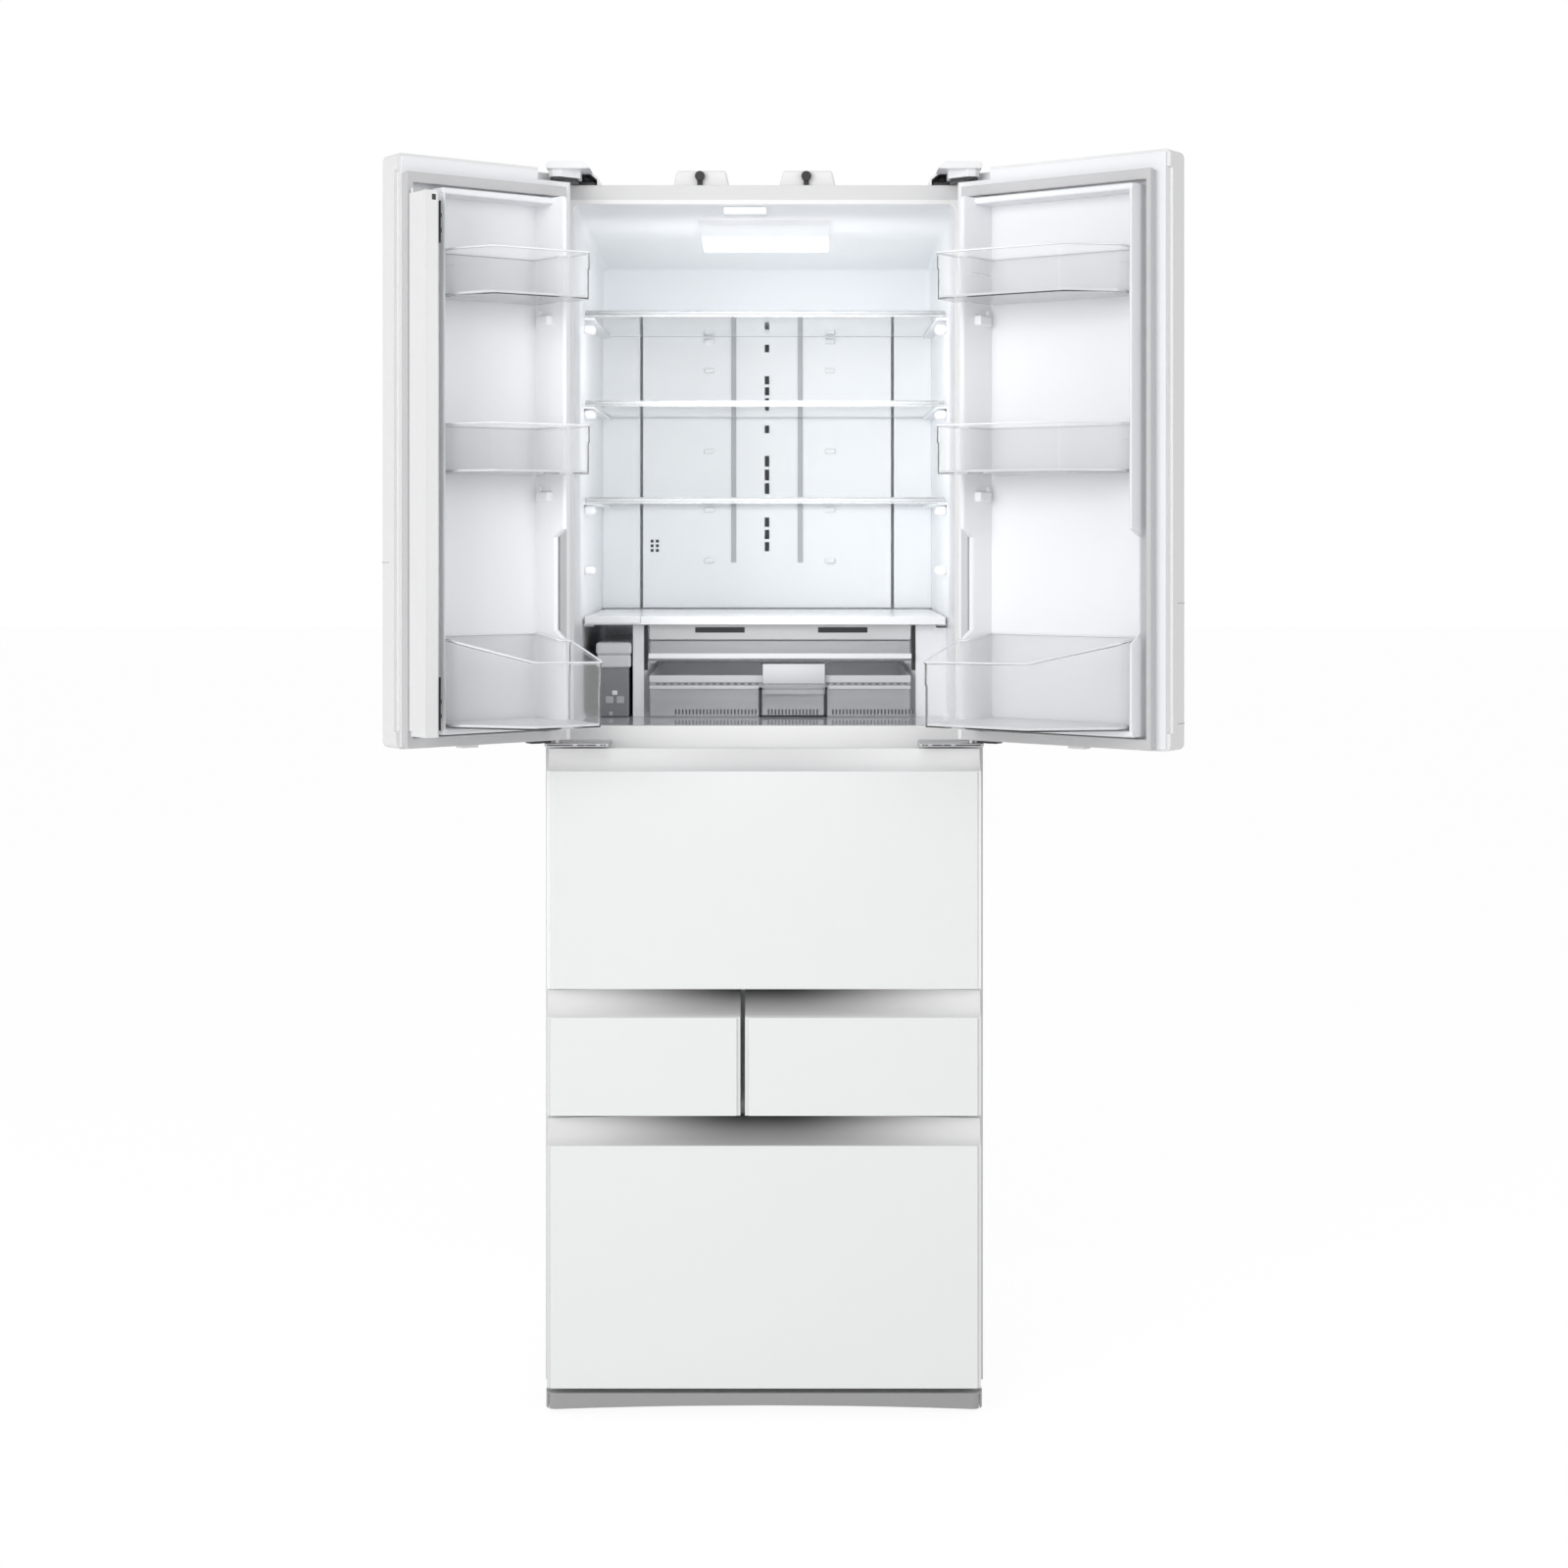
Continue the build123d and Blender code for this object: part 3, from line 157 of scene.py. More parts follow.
def feed(tree, socket, value):
    """Gives a socket a plain value or a link from another node."""
    if isinstance(value, bpy.types.NodeSocket):
        tree.links.new(value, socket)
    else:
        socket.default_value = value


def add(tree, kind, *values, **named):
    """New node with values or links on its first inputs and on its named inputs, as its outputs."""
    node = tree.nodes.new("ShaderNode" + kind)
    for socket, value in zip(node.inputs, values):
        feed(tree, socket, value)
    for label, value in named.items():
        feed(tree, node.inputs[label.replace("_", " ")], value)
    return node.outputs


def combined(tree, kind, *values):
    """Sum, product or other combination of values."""
    result = add(tree, "Math", *values)["Value"]
    result.node.operation = kind
    return result


def mixed(tree, share, first, second):
    """Colour between two colours."""
    node = tree.nodes.new("ShaderNodeMix")
    node.data_type = "RGBA"
    for place, value in ((0, share), (6, first), (7, second)):
        feed(tree, node.inputs[place], value)
    return node.outputs[2]


def show_mix(tree, output, share, first, second):
    """Shows a mix of two shaders."""
    mix = add(tree, "MixShader", share, first, second)["Shader"]
    tree.links.new(mix, tree.nodes[output].inputs["Surface"])


def make_grain():
    """Fine moulded or sprayed texture: a bump and a slightly uneven roughness."""
    inputs = [("Scale", "Float", 900.0), ("Depth", "Float", 0.1), ("Roughness", "Float", 0.4)]
    inputs.append(("Spread", "Float", 0.1))
    group, given, result = new_group("fine_grain", inputs, [("Normal", "Vector"), ("Roughness", "Float")])
    place = add(group, "TexCoord")["Object"]
    grain = add(group, "TexNoise", Vector=place, Scale=given["Scale"], Detail=2.0)["Fac"]
    bump = add(group, "Bump", Distance=0.0004, Strength=given["Depth"], Height=grain)["Normal"]
    smear = add(group, "TexNoise", Vector=place, Scale=9.0, Detail=3.0)["Fac"]
    low = combined(group, "SUBTRACT", given["Roughness"], given["Spread"])
    high = combined(group, "ADD", given["Roughness"], given["Spread"])
    spread = add(group, "MapRange", Value=smear, To_Min=low, To_Max=high)["Result"]
    feed(group, result["Normal"], bump)
    feed(group, result["Roughness"], spread)
    return group


def make_tone():
    """Slow drift between two close tones, with a faint speckle."""
    inputs = [("Light", "Color", (0.9, 0.9, 0.9, 1)), ("Shade", "Color", (0.85, 0.85, 0.85, 1))]
    inputs += [("Scale", "Float", 4.0), ("Speckle", "Float", 0.1)]
    group, given, result = new_group("tone_drift", inputs, [("Color", "Color")])
    place = add(group, "TexCoord")["Object"]
    drift = add(group, "TexNoise", Vector=place, Scale=given["Scale"], Detail=3.0, Roughness=0.6)["Fac"]
    dots = add(group, "TexNoise", Vector=place, Scale=1400.0, Detail=1.0)["Fac"]
    share = add(group, "Mix", Factor=given["Speckle"], A=drift, B=dots)["Result"]
    feed(group, result["Color"], mixed(group, share, given["Light"], given["Shade"]))
    return group


def make_brushed():
    """Lines of a brushed or rolled metal along X, as a bump and a roughness."""
    inputs = [("Scale", "Float", 60.0), ("Depth", "Float", 0.2)]
    inputs += [("Low", "Float", 0.25), ("High", "Float", 0.45)]
    group, given, result = new_group("brushed_lines", inputs, [("Normal", "Vector"), ("Roughness", "Float")])
    place = add(group, "TexCoord")["Object"]
    stretch = add(group, "Mapping", Vector=place, Scale=(0.6, 14.0, 14.0))["Vector"]
    lines = add(group, "TexNoise", Vector=stretch, Scale=given["Scale"], Detail=4.0)["Fac"]
    bump = add(group, "Bump", Distance=0.0003, Strength=given["Depth"], Height=lines)["Normal"]
    spread = add(group, "MapRange", Value=lines, To_Min=given["Low"], To_Max=given["High"])["Result"]
    feed(group, result["Normal"], bump)
    feed(group, result["Roughness"], spread)
    return group


def make_shade_ramp():
    """Colour ramp, darker towards the top and the middle: painted shade for a finger hollow, and the glow
    mask of the lamp lens.
    """
    inputs = [("Light", "Color", (0.8, 0.8, 0.8, 1)), ("Dark", "Color", (0.1, 0.1, 0.1, 1))]
    inputs += [("Bottom", "Float", 0.0), ("Top", "Float", 1.0), ("Half", "Float", 0.3)]
    group, given, result = new_group("shade_ramp", inputs, [("Color", "Color")])
    parts = add(group, "SeparateXYZ", Vector=add(group, "TexCoord")["Object"])
    rise = add(group, "MapRange", Value=parts["Z"], From_Min=given["Bottom"], From_Max=given["Top"])["Result"]
    curve = combined(group, "POWER", rise, 0.42)
    across = combined(group, "ABSOLUTE", parts["X"])
    reach = add(group, "MapRange", Value=across, From_Min=given["Half"], From_Max=0.02)["Result"]
    reach.node.interpolation_type = "SMOOTHSTEP"
    mask = combined(group, "MULTIPLY", curve, reach)
    feed(group, result["Color"], mixed(group, mask, given["Light"], given["Dark"]))
    return group


GRAIN = make_grain()
TONE = make_tone()
BRUSHED = make_brushed()
SHADE_RAMP = make_shade_ramp()


def use_group(tree, group, **values):
    """A node group with plain values on its inputs."""
    node = tree.nodes.new("ShaderNodeGroup")
    node.node_tree = group
    for label, value in values.items():
        node.inputs[label].default_value = value
    return node


def grained(tree, shader, scale, depth, roughness, spread):
    """Gives a shader a fine grain and an uneven roughness."""
    skin = use_group(tree, GRAIN, Scale=scale, Depth=depth, Roughness=roughness, Spread=spread)
    tree.links.new(skin.outputs["Normal"], shader.inputs["Normal"])
    tree.links.new(skin.outputs["Roughness"], shader.inputs["Roughness"])


def start_material(name, **values):
    """Material with one Principled shader and plain values on its sockets."""
    material = bpy.data.materials.new(name)
    material.use_nodes = True
    shader = material.node_tree.nodes["Principled BSDF"]
    for label, value in values.items():
        shader.inputs[label.replace("_", " ")].default_value = value
    return material, material.node_tree, shader


def toned(tree, shader, light, shade, scale, speckle):
    """Gives a shader two close tones that drift into each other."""
    tone = use_group(tree, TONE, Light=(*light, 1), Shade=(*shade, 1), Scale=scale, Speckle=speckle)
    tree.links.new(tone.outputs["Color"], shader.inputs["Base Color"])


def moulded(name, light, shade, roughness, grain=(900.0, 0.1), drift=4.0, speckle=0.15, **values):
    """Plastic, paint or rubber: two close tones and a fine grain."""
    material, tree, shader = start_material(name, **values)
    toned(tree, shader, light, shade, drift, speckle)
    grained(tree, shader, *grain, roughness, roughness * 0.2)
    return material


def metal(name, light, shade, low, high, scale=60.0, depth=0.2):
    """Bare metal with brushed lines."""
    material, tree, shader = start_material(name, Metallic=1.0)
    toned(tree, shader, light, shade, 20.0, 0.4)
    lines = use_group(tree, BRUSHED, Scale=scale, Depth=depth, Low=low, High=high)
    tree.links.new(lines.outputs["Normal"], shader.inputs["Normal"])
    tree.links.new(lines.outputs["Roughness"], shader.inputs["Roughness"])
    return material


def clear(name, light, shade, roughness, ior, through=1.0):
    """Clear glass or plastic that lets the lamps' light straight through."""
    material, tree, shader = start_material(name, Transmission_Weight=through, IOR=ior)
    toned(tree, shader, light, shade, 6.0, 0.1)
    grained(tree, shader, 120.0, 0.02, roughness, roughness * 0.5)
    passing = add(tree, "BsdfTransparent", Color=[value * through for value in light] + [1])["BSDF"]
    shadow = add(tree, "LightPath")["Is Shadow Ray"]
    show_mix(tree, "Material Output", shadow, shader.outputs["BSDF"], passing)
    return material


WHITE_GLASS = moulded("white_glass", (0.862, 0.882, 0.879), (0.843, 0.858, 0.856), 0.12, (40.0, 0.01),
                      drift=2.0, speckle=0.05, Coat_Weight=0.5, Coat_Roughness=0.04)
WHITE_PAINT = moulded("white_paint", (0.86, 0.86, 0.862), (0.84, 0.84, 0.845), 0.32, (700.0, 0.12))
GREY_PAINT = moulded("grey_paint", (0.62, 0.63, 0.64), (0.57, 0.58, 0.59), 0.42, (500.0, 0.2))
FRAME_WHITE = moulded("frame_white", (0.84, 0.84, 0.845), (0.81, 0.81, 0.815), 0.38, (1100.0, 0.1))
# Grey for the strip over the cases, and painted shade on the band at the top of the front flange
GREY_AND_PAINTED_SHADE = moulded("grey_and_painted_shade", (0.7, 0.7, 0.705), (0.67, 0.67, 0.675), 0.36, (1100.0, 0.1))
LID_GREY = moulded("lid_grey", (0.66, 0.665, 0.68), (0.63, 0.635, 0.65), 0.3, (1000.0, 0.08))
FLOOR_SHINE = moulded("floor_shine", (0.55, 0.56, 0.58), (0.52, 0.53, 0.55), 0.05, (200.0, 0.01), IOR=1.6)
LINER_WHITE = moulded("liner_white", (0.9, 0.91, 0.93), (0.88, 0.892, 0.915), 0.34, (1300.0, 0.08))
TRIM_WHITE = moulded("trim_white", (0.87, 0.88, 0.895), (0.845, 0.855, 0.87), 0.22, (1300.0, 0.05))
SEAL_WHITE = moulded("seal_white", (0.62, 0.62, 0.625), (0.58, 0.58, 0.59), 0.6, (1500.0, 0.25))
KICK_GREY = moulded("kick_grey", (0.375, 0.375, 0.38), (0.35, 0.35, 0.355), 0.45, (1000.0, 0.2))
TANK_GREY = moulded("tank_grey", (0.24, 0.245, 0.257), (0.22, 0.225, 0.237), 0.4, (1000.0, 0.15))
BAR_GREY = moulded("bar_grey", (0.09, 0.093, 0.1), (0.075, 0.078, 0.085), 0.4, (1000.0, 0.15))
# Dark plastic, also used as painted shade in the gaps and slots beside and over the chilled cases
DARK_PLASTIC_AND_SHADE = moulded("dark_plastic", (0.03, 0.03, 0.032), (0.02, 0.02, 0.022), 0.45, (1000.0, 0.2))
# Painted shade for the insides of slots and outlets
SLOT_SHADE = moulded("painted_slot_shade", (0.05, 0.052, 0.056), (0.035, 0.036, 0.04), 0.6, (1000.0, 0.1))
# Grey for seams and the tank's windows, and painted shade for the grooves on the duct cover
GREY_AND_GROOVE_SHADE = moulded("grey_and_painted_groove_shade", (0.5, 0.51, 0.53), (0.44, 0.45, 0.47), 0.5, (1000.0, 0.1))
BLACK_METAL = moulded("black_metal", (0.035, 0.035, 0.036), (0.025, 0.025, 0.026), 0.35, (400.0, 0.3))
FOAM_CREAM = moulded("foam_cream", (0.75, 0.68, 0.44), (0.66, 0.58, 0.36), 0.9, (220.0, 0.8))
BOARD_GREEN = moulded("board_green", (0.03, 0.17, 0.07), (0.02, 0.12, 0.05), 0.4, (300.0, 0.4))
MILKY = moulded("milky_plastic", (0.82, 0.85, 0.88), (0.79, 0.82, 0.855), 0.25, (900.0, 0.05))
STEEL = metal("rail_steel", (0.6, 0.61, 0.63), (0.5, 0.51, 0.53), 0.28, 0.45)
HINGE_STEEL = metal("hinge_steel", (0.6, 0.6, 0.61), (0.5, 0.5, 0.51), 0.3, 0.5)
FIN_METAL = metal("fin_metal", (0.75, 0.76, 0.78), (0.66, 0.67, 0.7), 0.25, 0.4, 90.0)
FROSTED = moulded("frosted_plastic", (0.8, 0.81, 0.83), (0.77, 0.78, 0.8), 0.3, (900.0, 0.05))
# Painted highlight: pale opaque bands on the pockets' clear rims
RIM_SHEEN = moulded("painted_rim_sheen", (0.84, 0.85, 0.87), (0.81, 0.82, 0.84), 0.2, (900.0, 0.03))
SHELF_GLASS = clear("shelf_glass", (0.965, 0.985, 0.985), (0.95, 0.975, 0.975), 0.03, 1.5)
SMOKE = clear("smoke_plastic", (0.9, 0.91, 0.925), (0.87, 0.88, 0.895), 0.1, 1.35, 0.74)
CASE_CLEAR = clear("case_plastic", (0.95, 0.96, 0.97), (0.93, 0.94, 0.955), 0.06, 1.35, 0.75)
POCKET_CLEAR = clear("pocket_plastic", (0.998, 0.999, 1.0), (0.992, 0.995, 0.998), 0.05, 1.18, 0.94)


def make_lamp():
    """Frosted lens that glows most at its lower face."""
    material, tree, shader = start_material("lamp_glow", Emission_Strength=1.1)
    toned(tree, shader, (0.82, 0.83, 0.85), (0.79, 0.8, 0.82), 12.0, 0.2)
    bottom, top = LENS_Z
    glow = use_group(tree, SHADE_RAMP, Light=(1, 1, 1, 1), Dark=(0, 0, 0, 1), Half=ENDLESS_HALF * MM)
    glow.inputs["Bottom"].default_value = bottom * MM
    glow.inputs["Top"].default_value = top * MM
    tree.links.new(glow.outputs["Color"], shader.inputs["Emission Color"])
    grained(tree, shader, 900.0, 0.1, 0.4, 0.1)
    return material


def painted_shade_plastic(name, light, dark, bottom, top):
    """Frame plastic with painted shade: darker towards the top and the middle of its finger hollow."""
    material = moulded(name, light, light, 0.45, (1100.0, 0.1), Specular_IOR_Level=0.15)
    tree = material.node_tree
    shade = use_group(tree, SHADE_RAMP, Dark=(*dark, 1), Bottom=bottom * MM, Top=top * MM, Half=PAINTED_SHADE_HALF * MM)
    shader = tree.nodes["Principled BSDF"]
    tone = shader.inputs["Base Color"].links[0].from_socket
    tree.links.new(tone, shade.inputs["Light"])
    tree.links.new(shade.outputs["Color"], shader.inputs["Base Color"])
    return material


LAMP_GLOW = make_lamp()
# Painted shade: the chilled case's grip is darker towards its bottom and lighter towards its top and middle
GRIP_PAINTED_SHADE = painted_shade_plastic("grip_grey_painted_shade", (0.36, 0.365, 0.38), (0.78, 0.785, 0.8), *CASE_GRIP_Z)
# Painted shade: the small and lower drawers' hollows turn nearly black towards their top and middle
SMALL_FRAME_PAINTED_SHADE = painted_shade_plastic("small_frame_painted_shade", (0.82, 0.82, 0.825), (0.012, 0.012, 0.012),
                       SMALL_Z[1] + 1, SMALL_Z[2])
LOWER_FRAME_PAINTED_SHADE = painted_shade_plastic("lower_frame_painted_shade", (0.8, 0.8, 0.805), (0.025, 0.025, 0.025),
                       LOWER_Z[1] - 4, LOWER_Z[2])
# Painted shade and light: the vegetable drawer's handle band is darker at its middle and lighter at its ends
WIDE_FRAME_PAINTED_SHADE = painted_shade_plastic("wide_frame_painted_shade", (0.97, 0.97, 0.97), (0.7, 0.7, 0.705),
                      VEGETABLE_Z[1] - 20, VEGETABLE_Z[1])


# Shapes
def on_side(side, span):
    """A span on the right of the cabinet, or its mirror on the left."""
    return side * span[0], side * span[1]


def centred(middle, half):
    """A span round a middle."""
    return middle - half, middle + half


def sharp_edges(bm, angle):
    """Edges where two faces meet at more than an angle."""
    limit = math.radians(angle)
    return [e for e in bm.edges if len(e.link_faces) == 2 and e.calc_face_angle(0.0) > limit]


def rounded(bm, width, segments=3, edges=None, angle=25):
    """Rounds the given edges, or all sharp ones."""
    if edges is None:
        edges = sharp_edges(bm, angle)
    bmesh.ops.bevel(bm, geom=edges, offset=width, offset_type="OFFSET", segments=segments, profile=0.5,
                    affect="EDGES", clamp_overlap=True, loop_slide=True, material=-1)
    return bm


def outward(bm):
    """Turns all faces outwards."""
    bmesh.ops.recalc_face_normals(bm, faces=bm.faces)
    return bm


def along(edge, axis):
    """True if an edge runs along an axis."""
    run = edge.verts[1].co - edge.verts[0].co
    return abs(run["xyz".index(axis)]) > 0.99 * run.length


def pushed(bm, faces, step):
    """Extrudes faces by a step and gives what was made."""
    made = bmesh.ops.extrude_face_region(bm, geom=faces)["geom"]
    bmesh.ops.translate(bm, vec=step, verts=[g for g in made if isinstance(g, bmesh.types.BMVert)])
    return made


def prism(outline, axis, span):
    """Closed solid with an outline of a few points, run along an axis."""
    low, high = sorted(span)
    spot = {"x": lambda u, v: (low, u, v), "y": lambda u, v: (u, low, v), "z": lambda u, v: (u, v, low)}[axis]
    bm = bmesh.new()
    face = bm.faces.new([bm.verts.new(spot(u, v)) for u, v in outline])
    pushed(bm, [face], Vector([(high - low) * (name == axis) for name in "xyz"]))
    return outward(bm)


def block(x, y, z, width=0.8, segments=2):
    """Box between limits with rounded edges."""
    bm = bmesh.new()
    bmesh.ops.create_cube(bm, size=1.0)
    spans = [sorted(limits) for limits in (x, y, z)]
    bmesh.ops.scale(bm, vec=[high - low for low, high in spans], verts=bm.verts)
    bmesh.ops.translate(bm, vec=[(low + high) / 2 for low, high in spans], verts=bm.verts)
    return rounded(bm, width, segments)


def stud(centre, axis, radius, length, width=0.6, segments=24):
    """Round pin from a point along an axis, with rounded ends."""
    bm = bmesh.new()
    bmesh.ops.create_cone(bm, cap_ends=True, segments=segments, radius1=radius, radius2=radius, depth=length)
    bmesh.ops.translate(bm, vec=(0, 0, length / 2), verts=bm.verts)
    turn = Vector((0, 0, 1)).rotation_difference(Vector(axis)).to_matrix().to_4x4()
    bm.transform(Matrix.Translation(centre) @ turn)
    return rounded(bm, width, 2, angle=50)


def joined(shapes):
    """One mesh from several shapes."""
    whole = bmesh.new()
    for shape in shapes:
        carrier = bpy.data.meshes.new("carrier")
        shape.to_mesh(carrier)
        shape.free()
        whole.from_mesh(carrier)
        bpy.data.meshes.remove(carrier)
    return whole


def closed_loop(bm, points):
    """Edges of a loop through points."""
    verts = [bm.verts.new(point) for point in points]
    return [bm.edges.new((verts[i - 1], verts[i])) for i in range(len(verts))]


def lofted(loops):
    """Solid through several closed loops of points, capped at both ends."""
    bm = bmesh.new()
    rings = [closed_loop(bm, loop) for loop in loops]
    for near, far in zip(rings, rings[1:]):
        bmesh.ops.bridge_loops(bm, edges=near + far)
    bmesh.ops.contextual_create(bm, geom=rings[0])
    bmesh.ops.contextual_create(bm, geom=rings[-1])
    return outward(bm)


def ring(corners, profile, spot):
    """Closed frame: a profile carried round four mitred corners."""
    bm = bmesh.new()
    rings = [closed_loop(bm, [spot(*corners(corner, w), d) for w, d in profile]) for corner in range(4)]
    for near in range(4):
        bmesh.ops.bridge_loops(bm, edges=rings[near] + rings[(near + 1) % 4])
    return outward(bm)


def in_door(bm, side):
    """Moves a shape from a door's own directions to where the open door stands."""
    c, s = math.cos(OPEN_LEFT), math.sin(OPEN_LEFT)
    rows = ((side * c, -side * s, 0, side * PIN_X), (-s, -c, 0, PIN_Y), (0, 0, 1, 0), (0, 0, 0, 1))
    bm.transform(Matrix(rows))
    if side > 0:
        bmesh.ops.reverse_faces(bm, faces=bm.faces)
    return bm


def piece(name, shape, material, body="cabinet", stands_for=(), scale=MM):
    """Makes a mesh object from a shape, or a list of shapes, and lets it ride on a body."""
    bm = joined(shape) if isinstance(shape, list) else shape
    bmesh.ops.scale(bm, vec=(scale, scale, scale), verts=bm.verts)
    limit = math.radians(SMOOTH_ANGLE)
    for face in bm.faces:
        face.smooth = True
    for edge in bm.edges:
        edge.smooth = len(edge.link_faces) == 2 and edge.calc_face_angle(0.0) < limit
    mesh = bpy.data.meshes.new(name)
    bm.to_mesh(mesh)
    bm.free()
    made = bpy.data.objects.new(name, mesh)
    SCENE.collection.objects.link(made)
    mesh.materials.append(material)
    made.modifiers.new("even_normals", "WEIGHTED_NORMAL").keep_sharp = True
    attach(made, body)
    if stands_for:
        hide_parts(*stands_for)
    return made


def body_of(node):
    """The body that a CAD node belongs to."""
    return frame["nodes"][node]["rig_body"]


def softened(node, width, material, segments=2, corner=0.0):
    """A CAD node's own shape with its sharp edges rounded, and a door's two free corners rounder."""
    bm = bmesh.new()
    bm.from_mesh(frame["nodes"][node].data)
    bmesh.ops.remove_doubles(bm, verts=bm.verts, dist=1e-6)
    bmesh.ops.dissolve_limit(bm, angle_limit=math.radians(0.5), verts=bm.verts, edges=bm.edges)
    if corner:
        reach = max(abs(v.co.x) for v in bm.verts)
        ends = [min(v.co.z for v in bm.verts), max(v.co.z for v in bm.verts)]
        longest, near_end = 50.0 * MM, 6.0 * MM
        level = [e for e in bm.edges if e.verts[0].co.z == e.verts[1].co.z and e.calc_length() < longest]
        tips = [e for e in level if max(abs(v.co.x) for v in e.verts) > reach - 1e-4]
        tips = [e for e in tips if min(abs(e.verts[0].co.z - end) for end in ends) < near_end]
        rounded(bm, corner * MM, 5, tips)
    rounded(bm, width * MM, segments, angle=35)
    return piece(node + "_rounded", bm, material, body_of(node), [node], scale=1.0)


def coated(node, material):
    """A CAD node as it is, with a new material."""
    mesh = frame["nodes"][node].data
    mesh.materials.clear()
    mesh.materials.append(material)


# Cabinet outside
def build_cabinet_skin():
    # Sides and top, folded from one sheet
    sheet_t, fold = 1.0, 3.0
    inner, inner_top = HALF - sheet_t, CABINET_TOP - sheet_t
    sheet = [(-HALF, CABINET_BOTTOM), (-HALF, CABINET_TOP), (HALF, CABINET_TOP), (HALF, CABINET_BOTTOM)]
    sheet += [(inner, CABINET_BOTTOM), (inner, inner_top), (-inner, inner_top), (-inner, CABINET_BOTTOM)]
    skin = prism(sheet, "y", (FLANGE_Y + FLANGE_T, CABINET_BACK))
    folds = [e for e in skin.edges if along(e, "y") and e.verts[0].co.z == CABINET_TOP]
    rounded(skin, fold, 4, [e for e in folds if abs(e.verts[0].co.x) == HALF])

    # Front flange, cut for the two openings
    flange = bmesh.new()
    bmesh.ops.create_grid(flange, x_segments=1, y_segments=1, size=0.5)
    flange.transform(Matrix.Rotation(math.radians(90), 4, "X"))
    bmesh.ops.scale(flange, vec=(2 * HALF, 1, CABINET_TOP - CABINET_BOTTOM), verts=flange.verts)
    bmesh.ops.translate(flange, vec=(0, FLANGE_Y, (CABINET_TOP + CABINET_BOTTOM) / 2), verts=flange.verts)
    heights = (LOWER_FLOOR, LOWER_CEILING, FRIDGE_FLOOR, CEILING_FRONT)
    cuts = [((x, 0, 0), (1, 0, 0)) for x in (-CAVITY_HALF, CAVITY_HALF)]
    cuts += [((0, 0, z), (0, 0, 1)) for z in heights]
    for spot, normal in cuts:
        whole = flange.verts[:] + flange.edges[:] + flange.faces[:]
        bmesh.ops.bisect_plane(flange, geom=whole, plane_co=spot, plane_no=normal)
    inside = []
    for face in flange.faces:
        middle = face.calc_center_median()
        low = heights[0] < middle.z < heights[1]
        if abs(middle.x) < CAVITY_HALF and (low or heights[2] < middle.z < heights[3]):
            inside.append(face)
    bmesh.ops.delete(flange, geom=inside, context="FACES")
    pushed(flange, flange.faces[:], (0, FLANGE_T, 0))
    outward(flange)

    # Rounded corners of the openings and soft lips
    opening_corner, lip = 9.0, 2.0
    upright = [e for e in sharp_edges(flange, 60) if along(e, "y")]
    rounded(flange, opening_corner, 5, [e for e in upright if abs(abs(e.verts[0].co.x) - CAVITY_HALF) < 0.1])
    fronts = [e for e in sharp_edges(flange, 60) if all(abs(v.co.y - FLANGE_Y) < 0.01 for v in e.verts)]
    rounded(flange, lip, 3, [e for e in fronts if all(abs(v.co.x) < inner for v in e.verts)])
    piece("cabinet_skin", [skin, flange], WHITE_PAINT, stands_for=["outer_shell"])


def build_back_details():
    # Raised beads, a border round the vent panel and screws on the back plate
    bead_x, bead_half, bead_z, sunk = (-210, -70, 70, 210), 14, (420, 1700), PLATE_BACK - 0.5
    beads = [block(centred(x, bead_half), (sunk, PLATE_BACK + 1.6), bead_z, 1.2) for x in bead_x]
    border_half, border_x = 5, (-290, 290)
    beads += [block(border_x, (sunk, PLATE_BACK + 1.4), centred(z, border_half), 1.0) for z in (245, 1752)]
    piece("back_beads", beads, GREY_PAINT)
    head_radius, head_height = 4.5, 2.2
    screws = []
    for x in (-305, -100, 100, 305):
        for z in (48, 262, 900, 1785):
            screws.append(stud((x, PLATE_BACK - 0.3, z), (0, 1, 0), head_radius, head_height, 0.8, 20))
    piece("back_screws", screws, STEEL)


def hinge_outline(side, points):
    """Plan of a hinge part, from distances towards the cabinet's middle and its back."""
    return [(side * (PIN_X - u), PIN_Y + v) for u, v in points]


